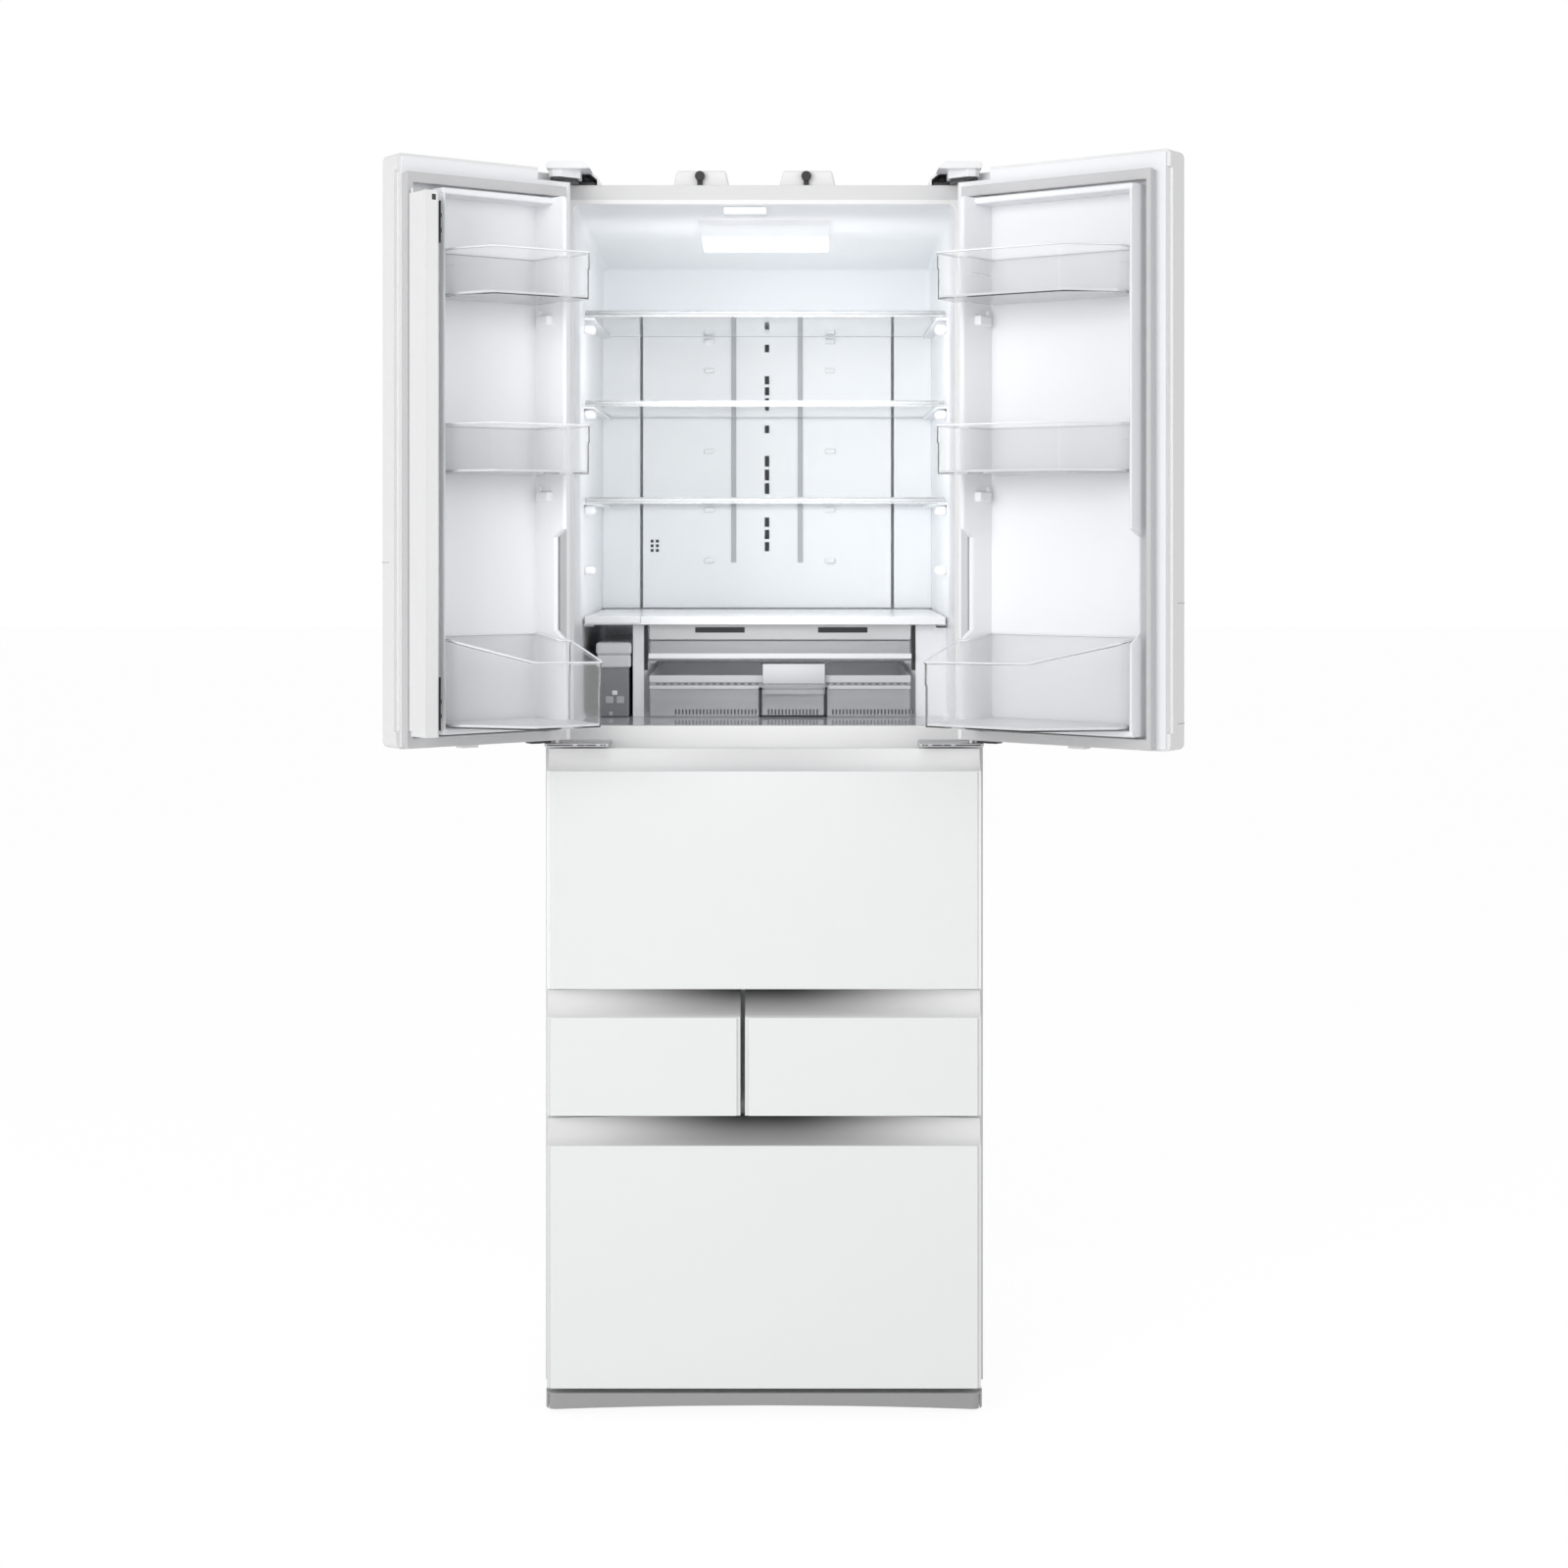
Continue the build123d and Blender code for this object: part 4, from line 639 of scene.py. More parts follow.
def build_hinges():
    foot_x, foot_y = (252, 312), (FLANGE_Y + 3, -205)
    plate_x, plate_front = (228, 322), PIN_Y - 13
    cap_y, brow_front, brow_bottom = (-283, -195), -341.5, 1823
    arms, plates, slots, caps = [], [], [], []
    for side in (-1, 1):
        # Black upper bracket: an arm that reaches into the door's recess and a flat foot
        arm = [(-9, -4), (-4, -9), (6, -9), (30, 10), (30, 44), (0, 44), (0, 20), (-9, 4)]
        arms.append(rounded(prism(hinge_outline(side, arm), "z", ARM_Z), 0.8, 2))
        arms.append(block(on_side(side, foot_x), foot_y, ARM_Z, 0.8))
        arms.append(stud((side * PIN_X, PIN_Y, ARM_Z[0] + 1), (0, 0, -1), PIN_RADIUS, 24.0))
        for x, y in ((268, -262), (296, -262), (282, -222)):
            arms.append(stud((side * x, y, ARM_Z[1] - 0.5), (0, 0, 1), 5.0, 3.0, 1.0, 20))
        # Steel lower bracket with its screws, and two long slots drawn as dark blocks of painted shade
        low, high = LOWER_PLATE_Z
        middle = (low + high) / 2
        plates.append(block(on_side(side, plate_x), (plate_front, FLANGE_Y), LOWER_PLATE_Z, 0.8))
        plates.append(block(on_side(side, plate_x), (FLANGE_Y - 3, FLANGE_Y), (low - 2.5, high + 1.5), 0.8))
        plates.append(stud((side * PIN_X, PIN_Y, high - 1), (0, 0, 1), PIN_RADIUS, 23.0))
        for x in (236, 262):
            plates.append(stud((side * x, plate_front + 0.4, middle), (0, -1, 0), 1.6, 0.8, 0.3, 12))
        for x in ((232, 240), (246, 274), (280, 318)):
            face = (plate_front - 0.4, plate_front + 1)
            slots.append(block(on_side(side, x), face, centred(middle, 0.9), 0.5))
        # Pale cap that slopes down at its inner end, with a skirt round the arm
        outer = [(319, 1807), (319, 1830.5), (316.5, CAP_TOP), (266, CAP_TOP), (246, 1816), (246, 1807)]
        inner = [(249, 1807), (249, 1815), (267, 1830), (315, 1830), (316, 1829), (316, 1807)]
        caps.append(rounded(prism([(side * x, z) for x, z in outer + inner], "y", cap_y), 0.7, 2))
        brow = [(319, brow_bottom), (319, 1830.5), (316.5, CAP_TOP), (266, CAP_TOP), (254.2, brow_bottom)]
        caps.append(rounded(prism([(side * x, z) for x, z in brow], "y", (brow_front, cap_y[0] + 1)), 1.0, 3))
        end = (cap_y[1] - 3, cap_y[1] + 0.5)
        caps.append(rounded(prism([(side * x, z) for x, z in outer], "y", end), 0.8, 2))
        skirt = [(-11, -5), (-5, -11), (7, -11), (34, 9), (34, 39), (0, 39), (0, 20), (-11, 4)]
        skirt_z = (ARM_Z[1] + 0.5, brow_bottom + 3)
        caps.append(rounded(prism(hinge_outline(side, skirt), "z", skirt_z), 0.8, 2))
    piece("upper_hinge_arms", arms, BLACK_METAL, stands_for=["hinge_brackets"])
    piece("lower_hinge_plates", plates, HINGE_STEEL, stands_for=["hinge_brackets"])
    piece("lower_hinge_slot_shade", slots, SLOT_SHADE)
    piece("hinge_caps", caps, TRIM_WHITE, stands_for=["hinge_covers"])
    stop_z = (LOWER_PLATE_Z[1] + 0.8, LOWER_PLATE_Z[1] + 5.8)
    for name, side in (("left_door", -1), ("right_door", 1)):
        stop = [block((12, 46), (-12, 6), stop_z, 1.2, 3), stud((30, -3, stop_z[0] - 0.4), (0, 0, 1), 7, 4)]
        piece(name + "_stop", in_door(joined(stop), side), DARK_PLASTIC_AND_SHADE, name)


# Fridge inside
def ceiling(y):
    """Height of the sloping ceiling."""
    return CEILING_FRONT + (CEILING_BACK - CEILING_FRONT) * (y - FLANGE_Y) / (CAVITY_BACK - FLANGE_Y)


def build_fridge_liner():
    # One moulded tub with soft inside corners
    mouth, corner = FLANGE_Y + 5, 8.0
    side = [(mouth, FRIDGE_FLOOR), (CAVITY_BACK, FRIDGE_FLOOR), (CAVITY_BACK, CEILING_BACK)]
    side.append((mouth, ceiling(mouth)))
    tub = prism(side, "x", (-CAVITY_HALF, CAVITY_HALF))
    front = [f for f in tub.faces if all(abs(v.co.y - mouth) < 1 for v in f.verts)]
    bmesh.ops.delete(tub, geom=front, context="FACES_ONLY")
    rounded(tub, corner, 4)
    bmesh.ops.reverse_faces(tub, faces=tub.faces)
    bmesh.ops.solidify(tub, geom=tub.faces[:], thickness=LINER_T)
    outward(tub)

    # Ledges under the shelves and short lugs with round ends
    cover_ledge, ledge_t, ledge_y = 1148.0, 4.5, (-110, 240)
    lug_high, lug_y, wall = 14, (-112, -70), CAVITY_HALF + 1
    ledges = []
    for top in [z - SHELF_T for z in SHELF_TOPS] + [cover_ledge]:
        for way in (-1, 1):
            ledges.append(block(on_side(way, (wall - 17, wall)), ledge_y, (top - ledge_t, top), 1.6, 3))
    for top in (1616.0, 1482.0, 1332.0, 1238.0):
        for way in (-1, 1):
            ledges.append(block(on_side(way, (wall - 18, wall)), lug_y, (top - lug_high, top), 6.0, 4))
    piece("fridge_tub", [tub, *ledges], LINER_WHITE, stands_for=["fridge_liner"])


def build_back_wall():
    # Panels that flank the duct cover and leave a narrow groove
    flank_x, flank_y, flank_z = (218, CAVITY_HALF + 0.5), (DUCT_Y + 1.5, CAVITY_BACK + 1), (1160, 1656)
    flank = [block(on_side(way, flank_x), flank_y, flank_z, 3, 3) for way in (-1, 1)]
    piece("back_wall_panels", flank, LINER_WHITE)
    coated("back_duct_cover", LINER_WHITE)

    # Grey strips of painted groove shade, and small tabs, on the duct cover
    strip_half, strip_z = 4.2, (1240, 1655)
    strips = [block(centred(x, strip_half), (DUCT_Y - 3.6, DUCT_Y), strip_z, 0.8) for x in (-57, 57)]
    piece("duct_groove_shade", strips, GREY_AND_GROOVE_SHADE)
    tab_half, tab_rise = 8.5, 4
    tabs = []
    for x in (-99, 108):
        for z in (1639, 1619, 1569, 1431, 1330, 1243):
            tabs.append(block(centred(x, tab_half), (DUCT_Y - 7, DUCT_Y + 0.5), centred(z, tab_rise), 1.8, 3))
    piece("duct_tabs", tabs, TRIM_WHITE)

    # Painted shade in the outlets: dark blocks behind the single slots, the groups of three and a block of
    # small vents
    outlet_half, back_y, land = 3.2, (DUCT_Y - 0.5, DUCT_Y + 2), 5
    outlets = [(top, 13.0) for top in (1654.0, 1614.0, 1475.0)]
    for top, pitch in ((1560.0, 19.0), (1423.0, 23.5), (1317.0, 21.0)):
        outlets += [(top - step * pitch, pitch - land) for step in range(3)]
    backs = [block((-outlet_half, outlet_half), back_y, (top - high, top), 0.4) for top, high in outlets]
    vent_x, vent_z, vent_size = -200, 1258, 5
    for column in range(2):
        for row in range(3):
            x, z = vent_x + column * 9, vent_z + row * 8
            backs.append(block((x, x + vent_size), back_y, (z, z + vent_size), 0.4))
    piece("duct_slot_shade", backs, SLOT_SHADE)


def build_shelves():
    front, back = SHELF_FRONT, SHELF_BACK
    plates, trims, lips = [], [], []
    for top in SHELF_TOPS:
        plates.append(block((-SHELF_HALF, SHELF_HALF), (front + 6, back - 4), (top - SHELF_T, top), 1.0))
        # Front trim: a bar with a lip over the glass
        section = [(front, top - 7), (front, top + 0.5), (front + 3, top + 2), (front + 12, top + 2)]
        section += [(front + 12, top + 0.2), (front + 5.4, top + 0.2), (front + 5.4, top - 5.2)]
        section += [(front + 10, top - 5.2), (front + 10, top - 7), (front + 2, top - 8)]
        trims.append(rounded(prism(section, "x", (1 - SHELF_HALF, SHELF_HALF - 1)), 0.5, 2))
        # Back lip that stops jars
        lip = [(back - 10, top - SHELF_T), (back - 10, top + 1), (back - 5, top + 2), (back - 4, top + 7)]
        lip += [(back, top + 7), (back, top - SHELF_T)]
        lips.append(rounded(prism(lip, "x", (-SHELF_HALF, SHELF_HALF)), 0.5, 2))
    piece("shelf_plates", plates, SHELF_GLASS, stands_for=["shelves"])
    piece("shelf_trims", trims, CASE_CLEAR, stands_for=["shelves"])
    piece("shelf_lips", lips, MILKY, stands_for=["shelves"])


def build_chilled_zone():
    softened("chilled_case_cover", 0.8, TRIM_WHITE)
    softened("case_side_walls", 1.5, LINER_WHITE)
    cap = block((265.5, CAVITY_HALF + 0.3), (-118, -40), (1123, 1142.5), 1.5)
    piece("case_wall_cap", cap, LINER_WHITE)

    # Dark strips of painted shade in the gaps beside the cases, and the strip over them with its two slots,
    # also dark blocks of painted shade
    gap_y, gap_z, strip_front = (-117, -113), (1076, 1146), -123.2
    slot_long, slot_z = 77, (1134.8, 1143.2)
    gaps = [block(x, gap_y, gap_z, 0.6) for x in ((-188.5, -183), (228, 234))]
    gaps += [block((x, x + slot_long), (strip_front - 0.6, -119), slot_z, 0.5) for x in (-109, 82)]
    piece("case_gap_shade", gaps, DARK_PLASTIC_AND_SHADE)
    strip = block(CASE_X, (strip_front, -122), (1124.5, 1148), 0.4)
    piece("case_strip_face", strip, GREY_AND_PAINTED_SHADE)

    # Seams on the front edge of the cover, where the tank's part begins
    seam_y, seam_x = (SHELF_FRONT - 0.4, SHELF_FRONT + 2), -193
    seams = [block((seam_x - 0.2, seam_x + 1), seam_y, (1150, 1160), 0.3)]
    seams.append(block((-277, seam_x), seam_y, (1149.6, 1150.6), 0.3))
    piece("case_cover_seams", seams, GREY_AND_GROOVE_SHADE)
    softened("upper_case", 0.5, CASE_CLEAR)
    softened("lower_case", 0.5, SMOKE)
    build_tank()
    build_case_details()


def build_tank():
    left, right = TANK_X
    back, lid_z, neck = 225, (1100, 1120), 1081
    tank = block(TANK_X, (TANK_FRONT, back), (FRIDGE_FLOOR + 0.5, neck), 3.0, 3)
    piece("tank_body", tank, TANK_GREY, "water_tank", ["water_tank"])
    lid = [block((left - 4, right + 4), (TANK_FRONT - 4, back), lid_z, 5.0, 4)]
    lid.append(block((left - 3, right + 3), (TANK_FRONT - 2.5, back - 1), (neck - 1, lid_z[0] + 1), 4.0, 4))
    piece("tank_lid", lid, LID_GREY, "water_tank", ["water_tank"])
    pane_y = (TANK_FRONT - 1, TANK_FRONT + 1)
    panes = [block((x, x + 12), pane_y, (1025, 1036), 1.0, 3) for x in (-248, -231)]
    panes.append(block((-243, -237), pane_y, (1006, 1012), 1.0, 3))
    piece("tank_windows", panes, GREY_AND_GROOVE_SHADE, "water_tank")
    clip = block((-238, -230), (TANK_FRONT - 2, TANK_FRONT + 1), (1038, 1045), 1.2, 3)
    piece("tank_clip", clip, TRIM_WHITE, "water_tank")


def build_case_details():
    # Grip face in grey with painted shade, darker towards its bottom and away from the middle, and the black
    # strips round the middle panel of the lower case
    front, grip_front = CASE_FRONT, -138.8
    grip = block((-3.5, 92.5), (grip_front, -136), (1056, 1088.6), 1.5, 3)
    piece("case_grip_face", grip, GRIP_PAINTED_SHADE, "lower_case")
    panel_x, panel_z, strip_y = (-10, 96), (1004, 1050), (front - 1.8, front + 1)
    strips = [block((x, x + 5), strip_y, panel_z, 0.5) for x in (panel_x[0], panel_x[1] - 5)]
    strips += [block(panel_x, strip_y, z, 0.5) for z in ((1004, 1007), (1046, 1049.5))]
    strips.append(block((-6, 92), (grip_front - 0.4, -137), (1087, 1089), 0.4))
    piece("case_strips", strips, DARK_PLASTIC_AND_SHADE, "lower_case")

    # Fine bars along the bottom and dashes under the rim
    bar_pitch, bar_wide, bar_y, bar_z = 5.4, 2.2, (front - 0.8, front + 0.5), (1008, 1016)
    bars = []
    for start, count in ((-140, 24), (4, 15), (104, 24)):
        for i in range(count):
            x = start + i * bar_pitch
            bars.append(block((x, x + bar_wide), bar_y, bar_z, 0.4))
    dash_start, dash_pitch, dash_wide, dash_z = -170, 11, 6, (1054.6, 1056.2)
    for i in range(36):
        x = dash_start + i * dash_pitch
        bars.append(block((x, x + dash_wide), bar_y, dash_z, 0.3))
    piece("case_bars", bars, BAR_GREY, "lower_case")

    # Pale rims of both cases
    left, right = CASE_X
    rims = [block(x, (front - 1.6, front + 0.5), (1047.5, 1052.5), 1.0) for x in ((left, -10), (98, right))]
    rims.append(block(CASE_X, (front - 1.0, front + 0.5), (1058, 1068.5), 1.0))
    piece("lower_case_rims", rims, LID_GREY, "lower_case")
    bar = block((left - 1, right + 1), (front - 6.6, front - 5.4), (1095, 1103), 1.0)
    piece("upper_case_bar", bar, TRIM_WHITE, "upper_case")


def build_lamp():
    coated("lamp_lens", LAMP_GLOW)
    softened("flap_guide", 2.0, LINER_WHITE)
    line_half, lens_drop = 1.2, 7.0
    lines = []
    for y in (-28, 15, 84):
        drop = ceiling(y) - lens_drop
        lines.append(block((-LENS_HALF, LENS_HALF), centred(y, line_half), (drop - 0.8, drop + 6), 0.6))
    piece("lamp_lines", lines, TRIM_WHITE)


def build_flange_faces():
    # Thin plates on the crossbar, a grey band of painted shade over the opening and the shiny floor in front
    # of the cases
    face = (FLANGE_Y - 0.15, FLANGE_Y + 1)
    plates = [block(x, face, (975, 999), 0.1) for x in ((-166, -120), (95, 141), (-113, 88))]
    piece("flange_plates", plates, WHITE_PAINT)
    # Painted shade: a greyer band where the top of the flange falls into shade
    band = block((3 - HALF, HALF - 3), face, (1785, CABINET_TOP - 1), 0.1)
    piece("flange_painted_shade_band", band, GREY_AND_PAINTED_SHADE)
    floor_z = (FRIDGE_FLOOR - 0.5, FRIDGE_FLOOR + 0.4)
    floor = block((2 - CAVITY_HALF, CAVITY_HALF - 2), (FLANGE_Y + FLANGE_T, -100), floor_z, 0.2)
    piece("fridge_floor_plate", floor, FLOOR_SHINE)


# Doors
def seal_profile(depth):
    """Section of a folded rubber seal, from the plate it sits on to its magnet face."""
    shares = [(0.1, 0.0), (0.1, 0.25), (0.3, 0.42), (0.02, 0.58), (0.0, 0.7), (0.0, 0.94), (0.08, 1.0)]
    shares += [(1 - w, d) for w, d in reversed(shares)]
    return [(w, d * depth) for w, d in shares]


def seal_ring(u, v, border, depth, spot):
    """Seal carried round a rectangle with left, right, bottom and top widths."""
    left, right, bottom, top = border

    def corners(corner, w):
        across = u[0] + w * left if corner in (0, 3) else u[1] - w * right
        up = v[0] + w * bottom if corner in (0, 1) else v[1] - w * top
        return across, up

    return ring(corners, seal_profile(depth), spot)


def ridge_levels(low, high):
    """Heights along a ridge with its depth there: lower between the two lower pockets, with sloped steps."""
    (bottom, top), (step_bottom, step_top) = RIDGE_Z, RIDGE_STEP_Z
    ends = [(bottom, high - 4), (bottom + 4, high), (top - 4, high), (top, high - 4)]
    if low == high:
        return ends
    steps = [(step_bottom - 14, high), (step_bottom, low), (step_top - 12, low), (step_top, high)]
    return ends[:2] + steps + ends[2:]


def hinge_ridge():
    """Tall ridge that stands by the hinge of a door."""
    loops = []
    for z, depth in ridge_levels(RIDGE_LOW, RIDGE_HIGH):
        section = [(26, 20), (30, depth - 5), (31.5, depth - 1.5), (34, depth), (36.5, depth - 1)]
        section += [(39, depth - 5), (48, 20)]
        loops.append([(a, b, z) for a, b in section])
    return lofted(loops)


def free_ridge(inner, stepped):
    """Slim ridge by the free edge: a narrow lip and a slope down to the seal."""
    loops = []
    for z, depth in ridge_levels(RIDGE_SLIM if stepped else RIDGE_LOW, RIDGE_LOW):
        section = [(inner + 2, 20), (inner + 2, depth - 3), (inner + 3, depth - 0.8), (inner + 4.5, depth)]
        section += [(inner + 6, depth - 0.8), (inner + 7, depth - 3), (inner + 11.5, 20)]
        loops.append([(a, b, z) for a, b in section])
    return lofted(loops)


def build_door(name, side, free, inner, corners, seal_run, seam_z):
    def placed(shapes):
        return in_door(joined(shapes), side)

    softened(name + "_glass", 0.9, WHITE_GLASS, corner=8.0)
    softened(name + "_frame", 1.4, FRAME_WHITE, corner=9.0)

    # Moulded inner skin with soft ridges, cut away at the hinge, and lugs for the pockets
    skin_b, end = (DOOR_BACK, SKIN_BACK), free - 6
    skin = [block((-8, end), skin_b, (SKIN_Z[0], HINGE_RECESS_Z), 1.2)]
    skin.append(block((HINGE_RECESS_A, end), skin_b, (HINGE_RECESS_Z - 2.5, SKIN_Z[1]), 1.2))
    ridges = [hinge_ridge(), free_ridge(inner, side > 0)]
    bar_high = 9.5
    for bottom in (RIDGE_Z[0], RIDGE_Z[1] - bar_high):
        ridges.append(block((34, inner + 8), (20, RIDGE_LOW), (bottom, bottom + bar_high), 3.0, 4))
    lugs = []
    for top in (1611.0, 1357.0):
        lugs.append(block((38, 52), (28, 60), (top - 23, top - 8), 3, 3))
        lugs.append(block((40, 50), (30, 36), (top - 14, top), 2, 3))
    shapes = placed(skin + ridges + lugs)
    piece(name + "_inner_skin", shapes, LINER_WHITE, name, [name + "_liner"])

    seams = [block((free - 0.4, free + 0.25), (-24, -2), (z, z + 1.2), 0.2) for z in seam_z]
    piece(name + "_edge_seams", placed(seams), GREY_AND_GROOVE_SHADE, name)

    # Seal, narrower along the free edge
    border = (12.0, seal_run[1] - seal_run[0], 15.0, 15.0)

    def spot(across, up, depth):
        return across, SKIN_BACK + depth, up

    run = seal_ring((6.0, seal_run[1]), SEAL_Z, border, SEAL_BACK - SKIN_BACK, spot)
    piece(name + "_seal", in_door(run, side), SEAL_WHITE, name, [name + "_gasket"])

    # Clear pockets with a frosted floor, and a pale rim of painted highlight on the clear rolled edge
    upper, lower = corners
    levels = [(upper, *UPPER_POCKET), (upper, *MIDDLE_POCKET), (lower, *LOWER_POCKET)]
    pockets = [pocket(inner, *level) for level in levels]
    floors = [pocket_floor(inner, corner, front, z[0] + 2.4) for corner, front, z, fall in levels]
    piece(name + "_pocket_floors", placed(floors), FROSTED, name, [name + "_pockets"])
    rims = [pocket_rim(inner, *level) for level in levels]
    piece(name + "_pocket_rim_sheen", placed(rims), RIM_SHEEN, name, [name + "_pockets"])
    piece(name + "_clear_pockets", placed(pockets), POCKET_CLEAR, name, [name + "_pockets"])


def pocket_plan(inner, corner, front, height):
    """Outline of a door pocket with rounded corners, as one face."""
    plan = [(50, 24), (50, 87), (32, 87), (32, front), (corner, front - 8), (inner, 80), (inner, 24)]
    bm = bmesh.new()
    bm.faces.new([bm.verts.new((a, b, height)) for a, b in plan])
    bmesh.ops.bevel(bm, geom=bm.verts[:], offset=6.0, offset_type="OFFSET", segments=4, profile=0.5,
                    affect="VERTICES", clamp_overlap=True, material=-1)
    return bm


def pocket_floor(inner, corner, front, height):
    """Frosted mat in the bottom of a pocket."""
    bm = pocket_plan(inner, corner, front, height)
    bmesh.ops.inset_region(bm, faces=bm.faces[:], thickness=3.0, use_boundary=True)
    rim = [f for f in bm.faces if len(f.verts) == 4]
    bmesh.ops.delete(bm, geom=rim, context="FACES")
    pushed(bm, bm.faces[:], (0, 0, 3.0))
    return outward(bm)


def pocket_rim(inner, corner, front, z, fall):
    """Pale band on the rim of a pocket: painted highlight of the clear rolled edge."""
    bm = pocket_plan(inner, corner, front, z[1] - 2.0)
    grow_plan(bm.verts, inner, front, 2.9)
    made = bmesh.ops.inset_region(bm, faces=bm.faces[:], thickness=2.8, use_boundary=True)["faces"]
    bmesh.ops.delete(bm, geom=[f for f in bm.faces if f not in made], context="FACES_ONLY")
    pushed(bm, bm.faces[:], (0, 0, 2.4))
    sink_rim(bm, front, z, fall)
    outward(bm)
    return rounded(bm, 0.6, 2, angle=60)


def grow_plan(verts, inner, front, step):
    """Moves the outline of a pocket outwards by a small step."""
    middle = Vector((inner / 2, front / 2, 0))
    for vert in verts:
        away = vert.co - middle
        away.z = 0
        vert.co += away.normalized() * step


def sink_rim(bm, front, z, fall):
    """Lets the rim of a pocket fall towards its front."""
    start = 60
    for vert in bm.verts:
        drop = fall * max(0.0, vert.co.y - start) / (front + 20 - start)
        vert.co.z -= drop * (vert.co.z - z[0]) / (z[1] - z[0])


def pocket(inner, corner, front, z, fall):
    """Clear tray with a stepped front wall and a rolled rim."""
    wall = 2.2
    bm = pocket_plan(inner, corner, front, z[0])
    height = z[1] - z[0]
    # Shares of the height, with how far the wall has stepped out there
    steps = [(0.62, 0.0), (0.64, 1.2), (0.955, 1.2), (0.965, 2.6), (1.0, 2.6)]
    face = bm.faces[:][0]
    level, out = 0.0, 0.0
    for share, grow in steps:
        made = pushed(bm, [face], (0, 0, (share - level) * height))
        grow_plan([g for g in made if isinstance(g, bmesh.types.BMVert)], inner, front, grow - out)
        old, face = face, [g for g in made if isinstance(g, bmesh.types.BMFace)][0]
        level, out = share, grow
        if old.is_valid and share != steps[0][0]:
            bmesh.ops.delete(bm, geom=[old], context="FACES_ONLY")
    bmesh.ops.delete(bm, geom=[face], context="FACES_ONLY")
    sink_rim(bm, front, z, fall)
    bmesh.ops.remove_doubles(bm, verts=bm.verts, dist=0.001)
    outward(bm)
    bmesh.ops.solidify(bm, geom=bm.faces[:], thickness=wall)
    return outward(bm)


def build_flap():
    softened("mullion_flap", 1.2, FRAME_WHITE, 3)
    # Dark guide peg, screws and inlays on the side that faces the door's free edge
    face, middle = 238.6, 82
    marks = [block((246, 252), (90.7, 91.5), (1748, 1756), 0.3)]
    for z in (1729, 1708, 1056, 1036):
        marks.append(stud((face, middle, z), (-1, 0, 0), 4.0, 5.0, 0.8, 20))
    for z in ((1690, 1748), (1016, 1090)):
        marks.append(block((face - 1.4, face + 0.2), centred(middle, 8), z, 0.4))
    piece("flap_marks", in_door(joined(marks), -1), DARK_PLASTIC_AND_SHADE, "mullion_flap")


# Drawers
def build_drawer(name, x, z, seal_z, grip_mid, grip_end, material):
    bottom, glass_top, top = z
    body = body_of(name + "_frame")
    softened(name + "_glass", 0.9, WHITE_GLASS)

    # Front frame: its hollowed top edge is deepest at the middle of the cabinet
    stations = 13
    loops = []
    slab = DRAWER_FRONT + GLASS_T
    start_y, start_z = slab + 3, glass_top + 1
    for i in range(stations):
        across = x[0] + (x[1] - x[0]) * i / (stations - 1)
        bow = 1 - (across / DOOR_HALF) ** 2
        grip = grip_end + (grip_mid - grip_end) * bow
        section = [(slab, bottom), (slab, glass_top), (slab + 1.5, glass_top + 0.6)]
        for share in (0.25, 0.5, 0.75, 1.0):
            turn = share * math.pi / 2
            depth = start_y + (grip - start_y) * math.sin(turn)
            section.append((depth, start_z + (top - start_z) * (1 - math.cos(turn))))
        section += [(DRAWER_BACK, top), (DRAWER_BACK, bottom)]
        loops.append([(across, y, height) for y, height in section])
    piece(name + "_front", lofted(loops), material, body, [name + "_frame"])

    # Seal, further in beside a wall of the cabinet than beside the post
    wall_inset, post_inset, side_border = 16.0, 3.3, 12.0
    insets = [wall_inset if abs(end) == DOOR_HALF else post_inset for end in x]
    u = (x[0] + insets[0], x[1] - insets[1])
    border = (side_border, side_border, seal_z[1] - seal_z[0], seal_z[3] - seal_z[2])

    def spot(across, up, depth):
        return across, DRAWER_BACK + depth, up

    run = seal_ring(u, (seal_z[0], seal_z[3]), border, FLANGE_Y - SEAL_GAP - DRAWER_BACK, spot)
    piece(name + "_seal", run, SEAL_WHITE, body, [name + "_gasket"])


build_cabinet_skin()
build_back_details()
build_hinges()
build_fridge_liner()
build_back_wall()
build_shelves()
build_chilled_zone()
build_lamp()
build_flange_faces()
build_door("left_door", -1, 270.3, 211.0, (181.0, 137.0), (253.5, 264.0), (1247,))
build_door("right_door", 1, 332.8, 287.0, (229.0, 192.0), (305.3, 313.3), (1191, 1023))
build_flap()

# Drawers with their seals' heights and the depth of their grips at the middle and the ends
whole_width = (-DOOR_HALF, DOOR_HALF)
vegetable_seal, small_seal, lower_seal = (626, 638, 960.5, 970), (441, 452, 606, 616.5), (44, 56, 418, 428.5)
flat_grip, bowed_grip = (-318, -318), (-311, -330)
# Each frame material paints shade into its finger hollow
build_drawer("vegetable", whole_width, VEGETABLE_Z, vegetable_seal, *flat_grip, WIDE_FRAME_PAINTED_SHADE)
build_drawer("ice_drawer", (-DOOR_HALF, SPLIT[0]), SMALL_Z, small_seal, *bowed_grip, SMALL_FRAME_PAINTED_SHADE)
build_drawer("upper_freezer", (SPLIT[1], DOOR_HALF), SMALL_Z, small_seal, *bowed_grip, SMALL_FRAME_PAINTED_SHADE)
build_drawer("lower_freezer", whole_width, LOWER_Z, lower_seal, *bowed_grip, LOWER_FRAME_PAINTED_SHADE)

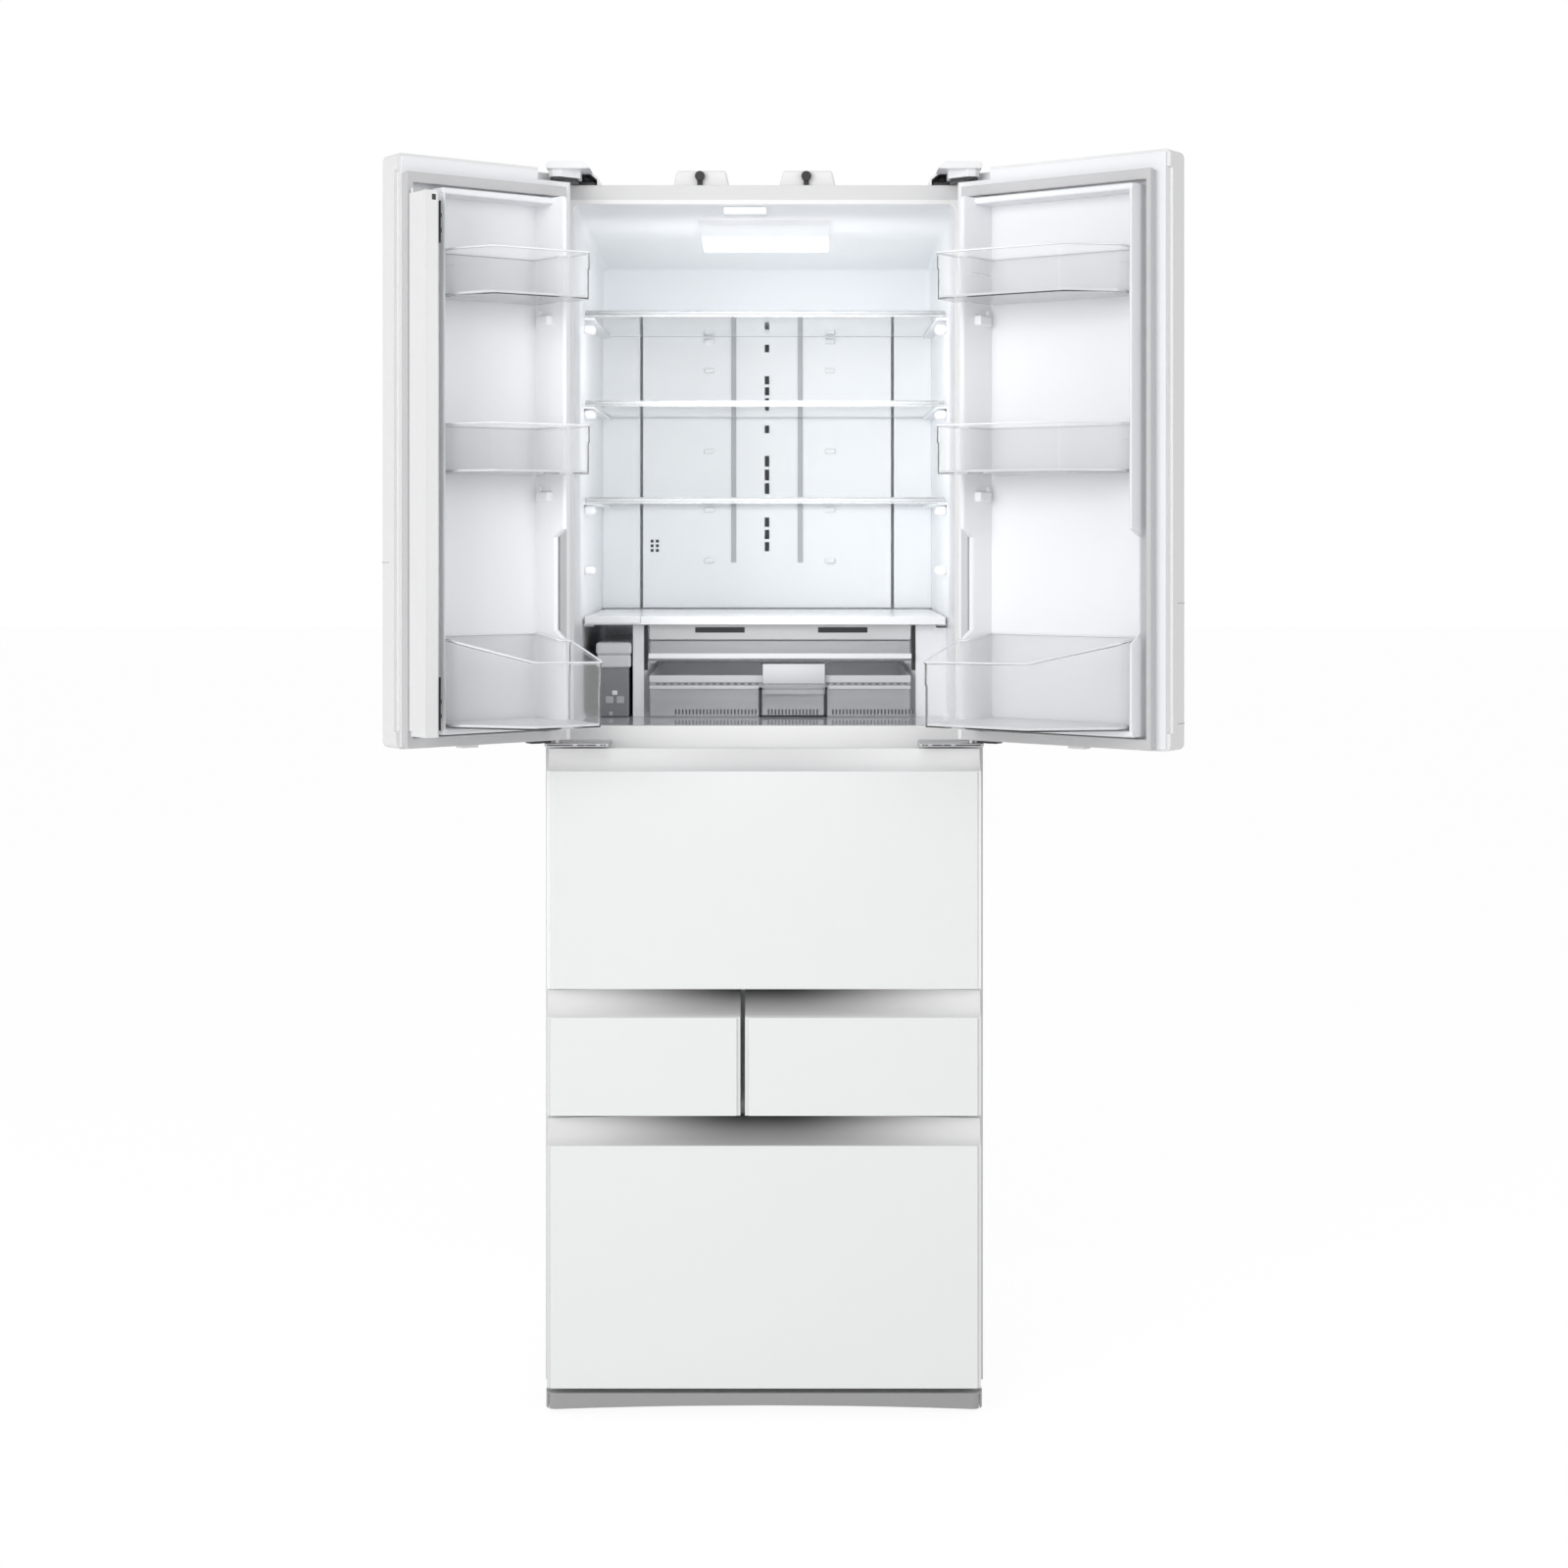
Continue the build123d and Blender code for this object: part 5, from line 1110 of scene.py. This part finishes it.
softened("kick_plate", 1.5, KICK_GREY)
softened("anti_tip_anchors", 4.0, FRAME_WHITE, 4)
softened("anchor_studs", 1.0, DARK_PLASTIC_AND_SHADE, 3)
for foot in ("left_foot", "right_foot"):
    softened(foot, 0.8, DARK_PLASTIC_AND_SHADE)
softened("rear_rollers", 1.5, DARK_PLASTIC_AND_SHADE)
softened("base_frame", 0.6, STEEL)
softened("partitions", 2.0, LINER_WHITE)
softened("cabinet_rails", 0.6, STEEL)
for drawer in ("vegetable", "lower_freezer"):
    softened(drawer + "_rails", 0.6, STEEL)
for drawer in ("vegetable", "ice_drawer", "upper_freezer", "lower_freezer"):
    softened(drawer + "_bin", 0.8, MILKY)
coated("back_plate", GREY_PAINT)
coated("insulation_foam", FOAM_CREAM)
coated("lower_liner", LINER_WHITE)
coated("compressor", BLACK_METAL)
for finned in ("condenser", "evaporator"):
    coated(finned, FIN_METAL)
coated("control_board", BOARD_GREEN)
coated("freezer_duct_cover", LINER_WHITE)
coated("freezer_fan", DARK_PLASTIC_AND_SHADE)


# Stage
def build_stage():
    bm = bmesh.new()
    bmesh.ops.create_grid(bm, x_segments=2, y_segments=2, size=30)
    mesh = bpy.data.meshes.new("studio_floor")
    bm.to_mesh(mesh)
    bm.free()
    floor = bpy.data.objects.new("studio_floor", mesh)
    SCENE.collection.objects.link(floor)
    material, tree, shader = start_material("studio_floor", Roughness=0.9)
    toned(tree, shader, (0.92, 0.92, 0.92), (0.9, 0.9, 0.9), 0.4, 0.0)
    light = add(tree, "Emission", Color=(1, 1, 1, 1), Strength=1.04)["Emission"]
    show_mix(tree, "Material Output", seen_by_eye(tree, 0.9), shader.outputs["BSDF"], light)
    mesh.materials.append(material)


def seen_by_eye(tree, share):
    """A share for rays that show the background: straight, mirrored or through glass."""
    path = add(tree, "LightPath")
    mirrored = combined(tree, "MAXIMUM", path["Is Camera Ray"], path["Is Glossy Ray"])
    shown = combined(tree, "MAXIMUM", mirrored, path["Is Transmission Ray"])
    unspread = combined(tree, "LESS_THAN", path["Diffuse Depth"], 0.5)
    return combined(tree, "MULTIPLY", combined(tree, "MULTIPLY", shown, unspread), share)


def build_world(level):
    """Plain light from all round, and a white background to look at."""
    world = bpy.data.worlds.new("studio")
    SCENE.world = world
    world.use_nodes = True
    tree = world.node_tree
    sky = tree.nodes["Background"]
    sky.inputs["Color"].default_value = (1, 1, 1, 1)
    sky.inputs["Strength"].default_value = level
    plain = add(tree, "Background", Color=(1, 1, 1, 1), Strength=1.0)["Background"]
    show_mix(tree, "World Output", seen_by_eye(tree, 1.0), sky.outputs["Background"], plain)


def softbox(name, place, aim, size, power):
    """Square lamp that shines from a place towards an aim."""
    light = bpy.data.lights.new(name, "AREA")
    light.shape = "SQUARE"
    light.size = size
    light.energy = power
    lamp = bpy.data.objects.new(name, light)
    lamp.location = place
    lamp.rotation_euler = (Vector(aim) - Vector(place)).to_track_quat("-Z", "Y").to_euler()
    lamp.visible_transmission = False
    SCENE.collection.objects.link(lamp)
    return lamp


def inside_lamp(name, place, aim, size, power):
    """Rectangular lamp that is not mirrored in shiny faces."""
    lamp = softbox(name, place, aim, size[0], power)
    lamp.data.shape = "RECTANGLE"
    lamp.data.size_y = size[1]
    lamp.visible_glossy = False


build_stage()
build_world(0.52)
front_aim = (0, -0.2, 1.0)
softbox("key_left", place=(-3.0, -4.6, 2.2), aim=front_aim, size=3.0, power=112)
softbox("fill_right", place=(3.4, -3.8, 2.2), aim=front_aim, size=2.4, power=34)
softbox("top_wash", place=(0.2, -1.2, 4.6), aim=(0, 0, 1.2), size=3.0, power=6)

# Light inside the cabinet: one lamp for each shelf bay, the ceiling, the chilled cases and the doors
inside_lamp("door_fill", (0, -0.62, 1.5), (0, 0.3, 1.5), (0.7, 0.7), 0.6)
for height, power in ((1.56, 0.72), (1.42, 0.42), (1.26, 0.37)):
    inside_lamp(f"bay_light_{height}", (0, -0.2, height), (0, DUCT_Y * MM, height), (0.42, 0.07), power)
inside_lamp("ceiling_light", (0, 0, 1.642), (0, 0.001, 1.75), (0.46, 0.46), 0.25)
inside_lamp("case_light", (0.02, -0.1, 1.06), (0.02, 0.3, 1.05), (0.38, 0.1), 0.3)

# Camera, level with the middle of the fridge and shifted down to show the whole cabinet
eye, sensor, lens, shift = (0.0292, -3.788, 1.283), 36.0, 54.1, -0.1573
camera = bpy.data.objects.new("camera", bpy.data.cameras.new("camera"))
camera.location = eye
camera.rotation_euler = (math.radians(90), 0, 0)
camera.data.sensor_width = sensor
camera.data.lens = lens
camera.data.shift_y = shift
SCENE.collection.objects.link(camera)
bpy.context.scene.camera = camera

bounces = 16
SCENE.view_settings.view_transform = "Standard"
SCENE.cycles.max_bounces = bounces
SCENE.cycles.transmission_bounces = bounces
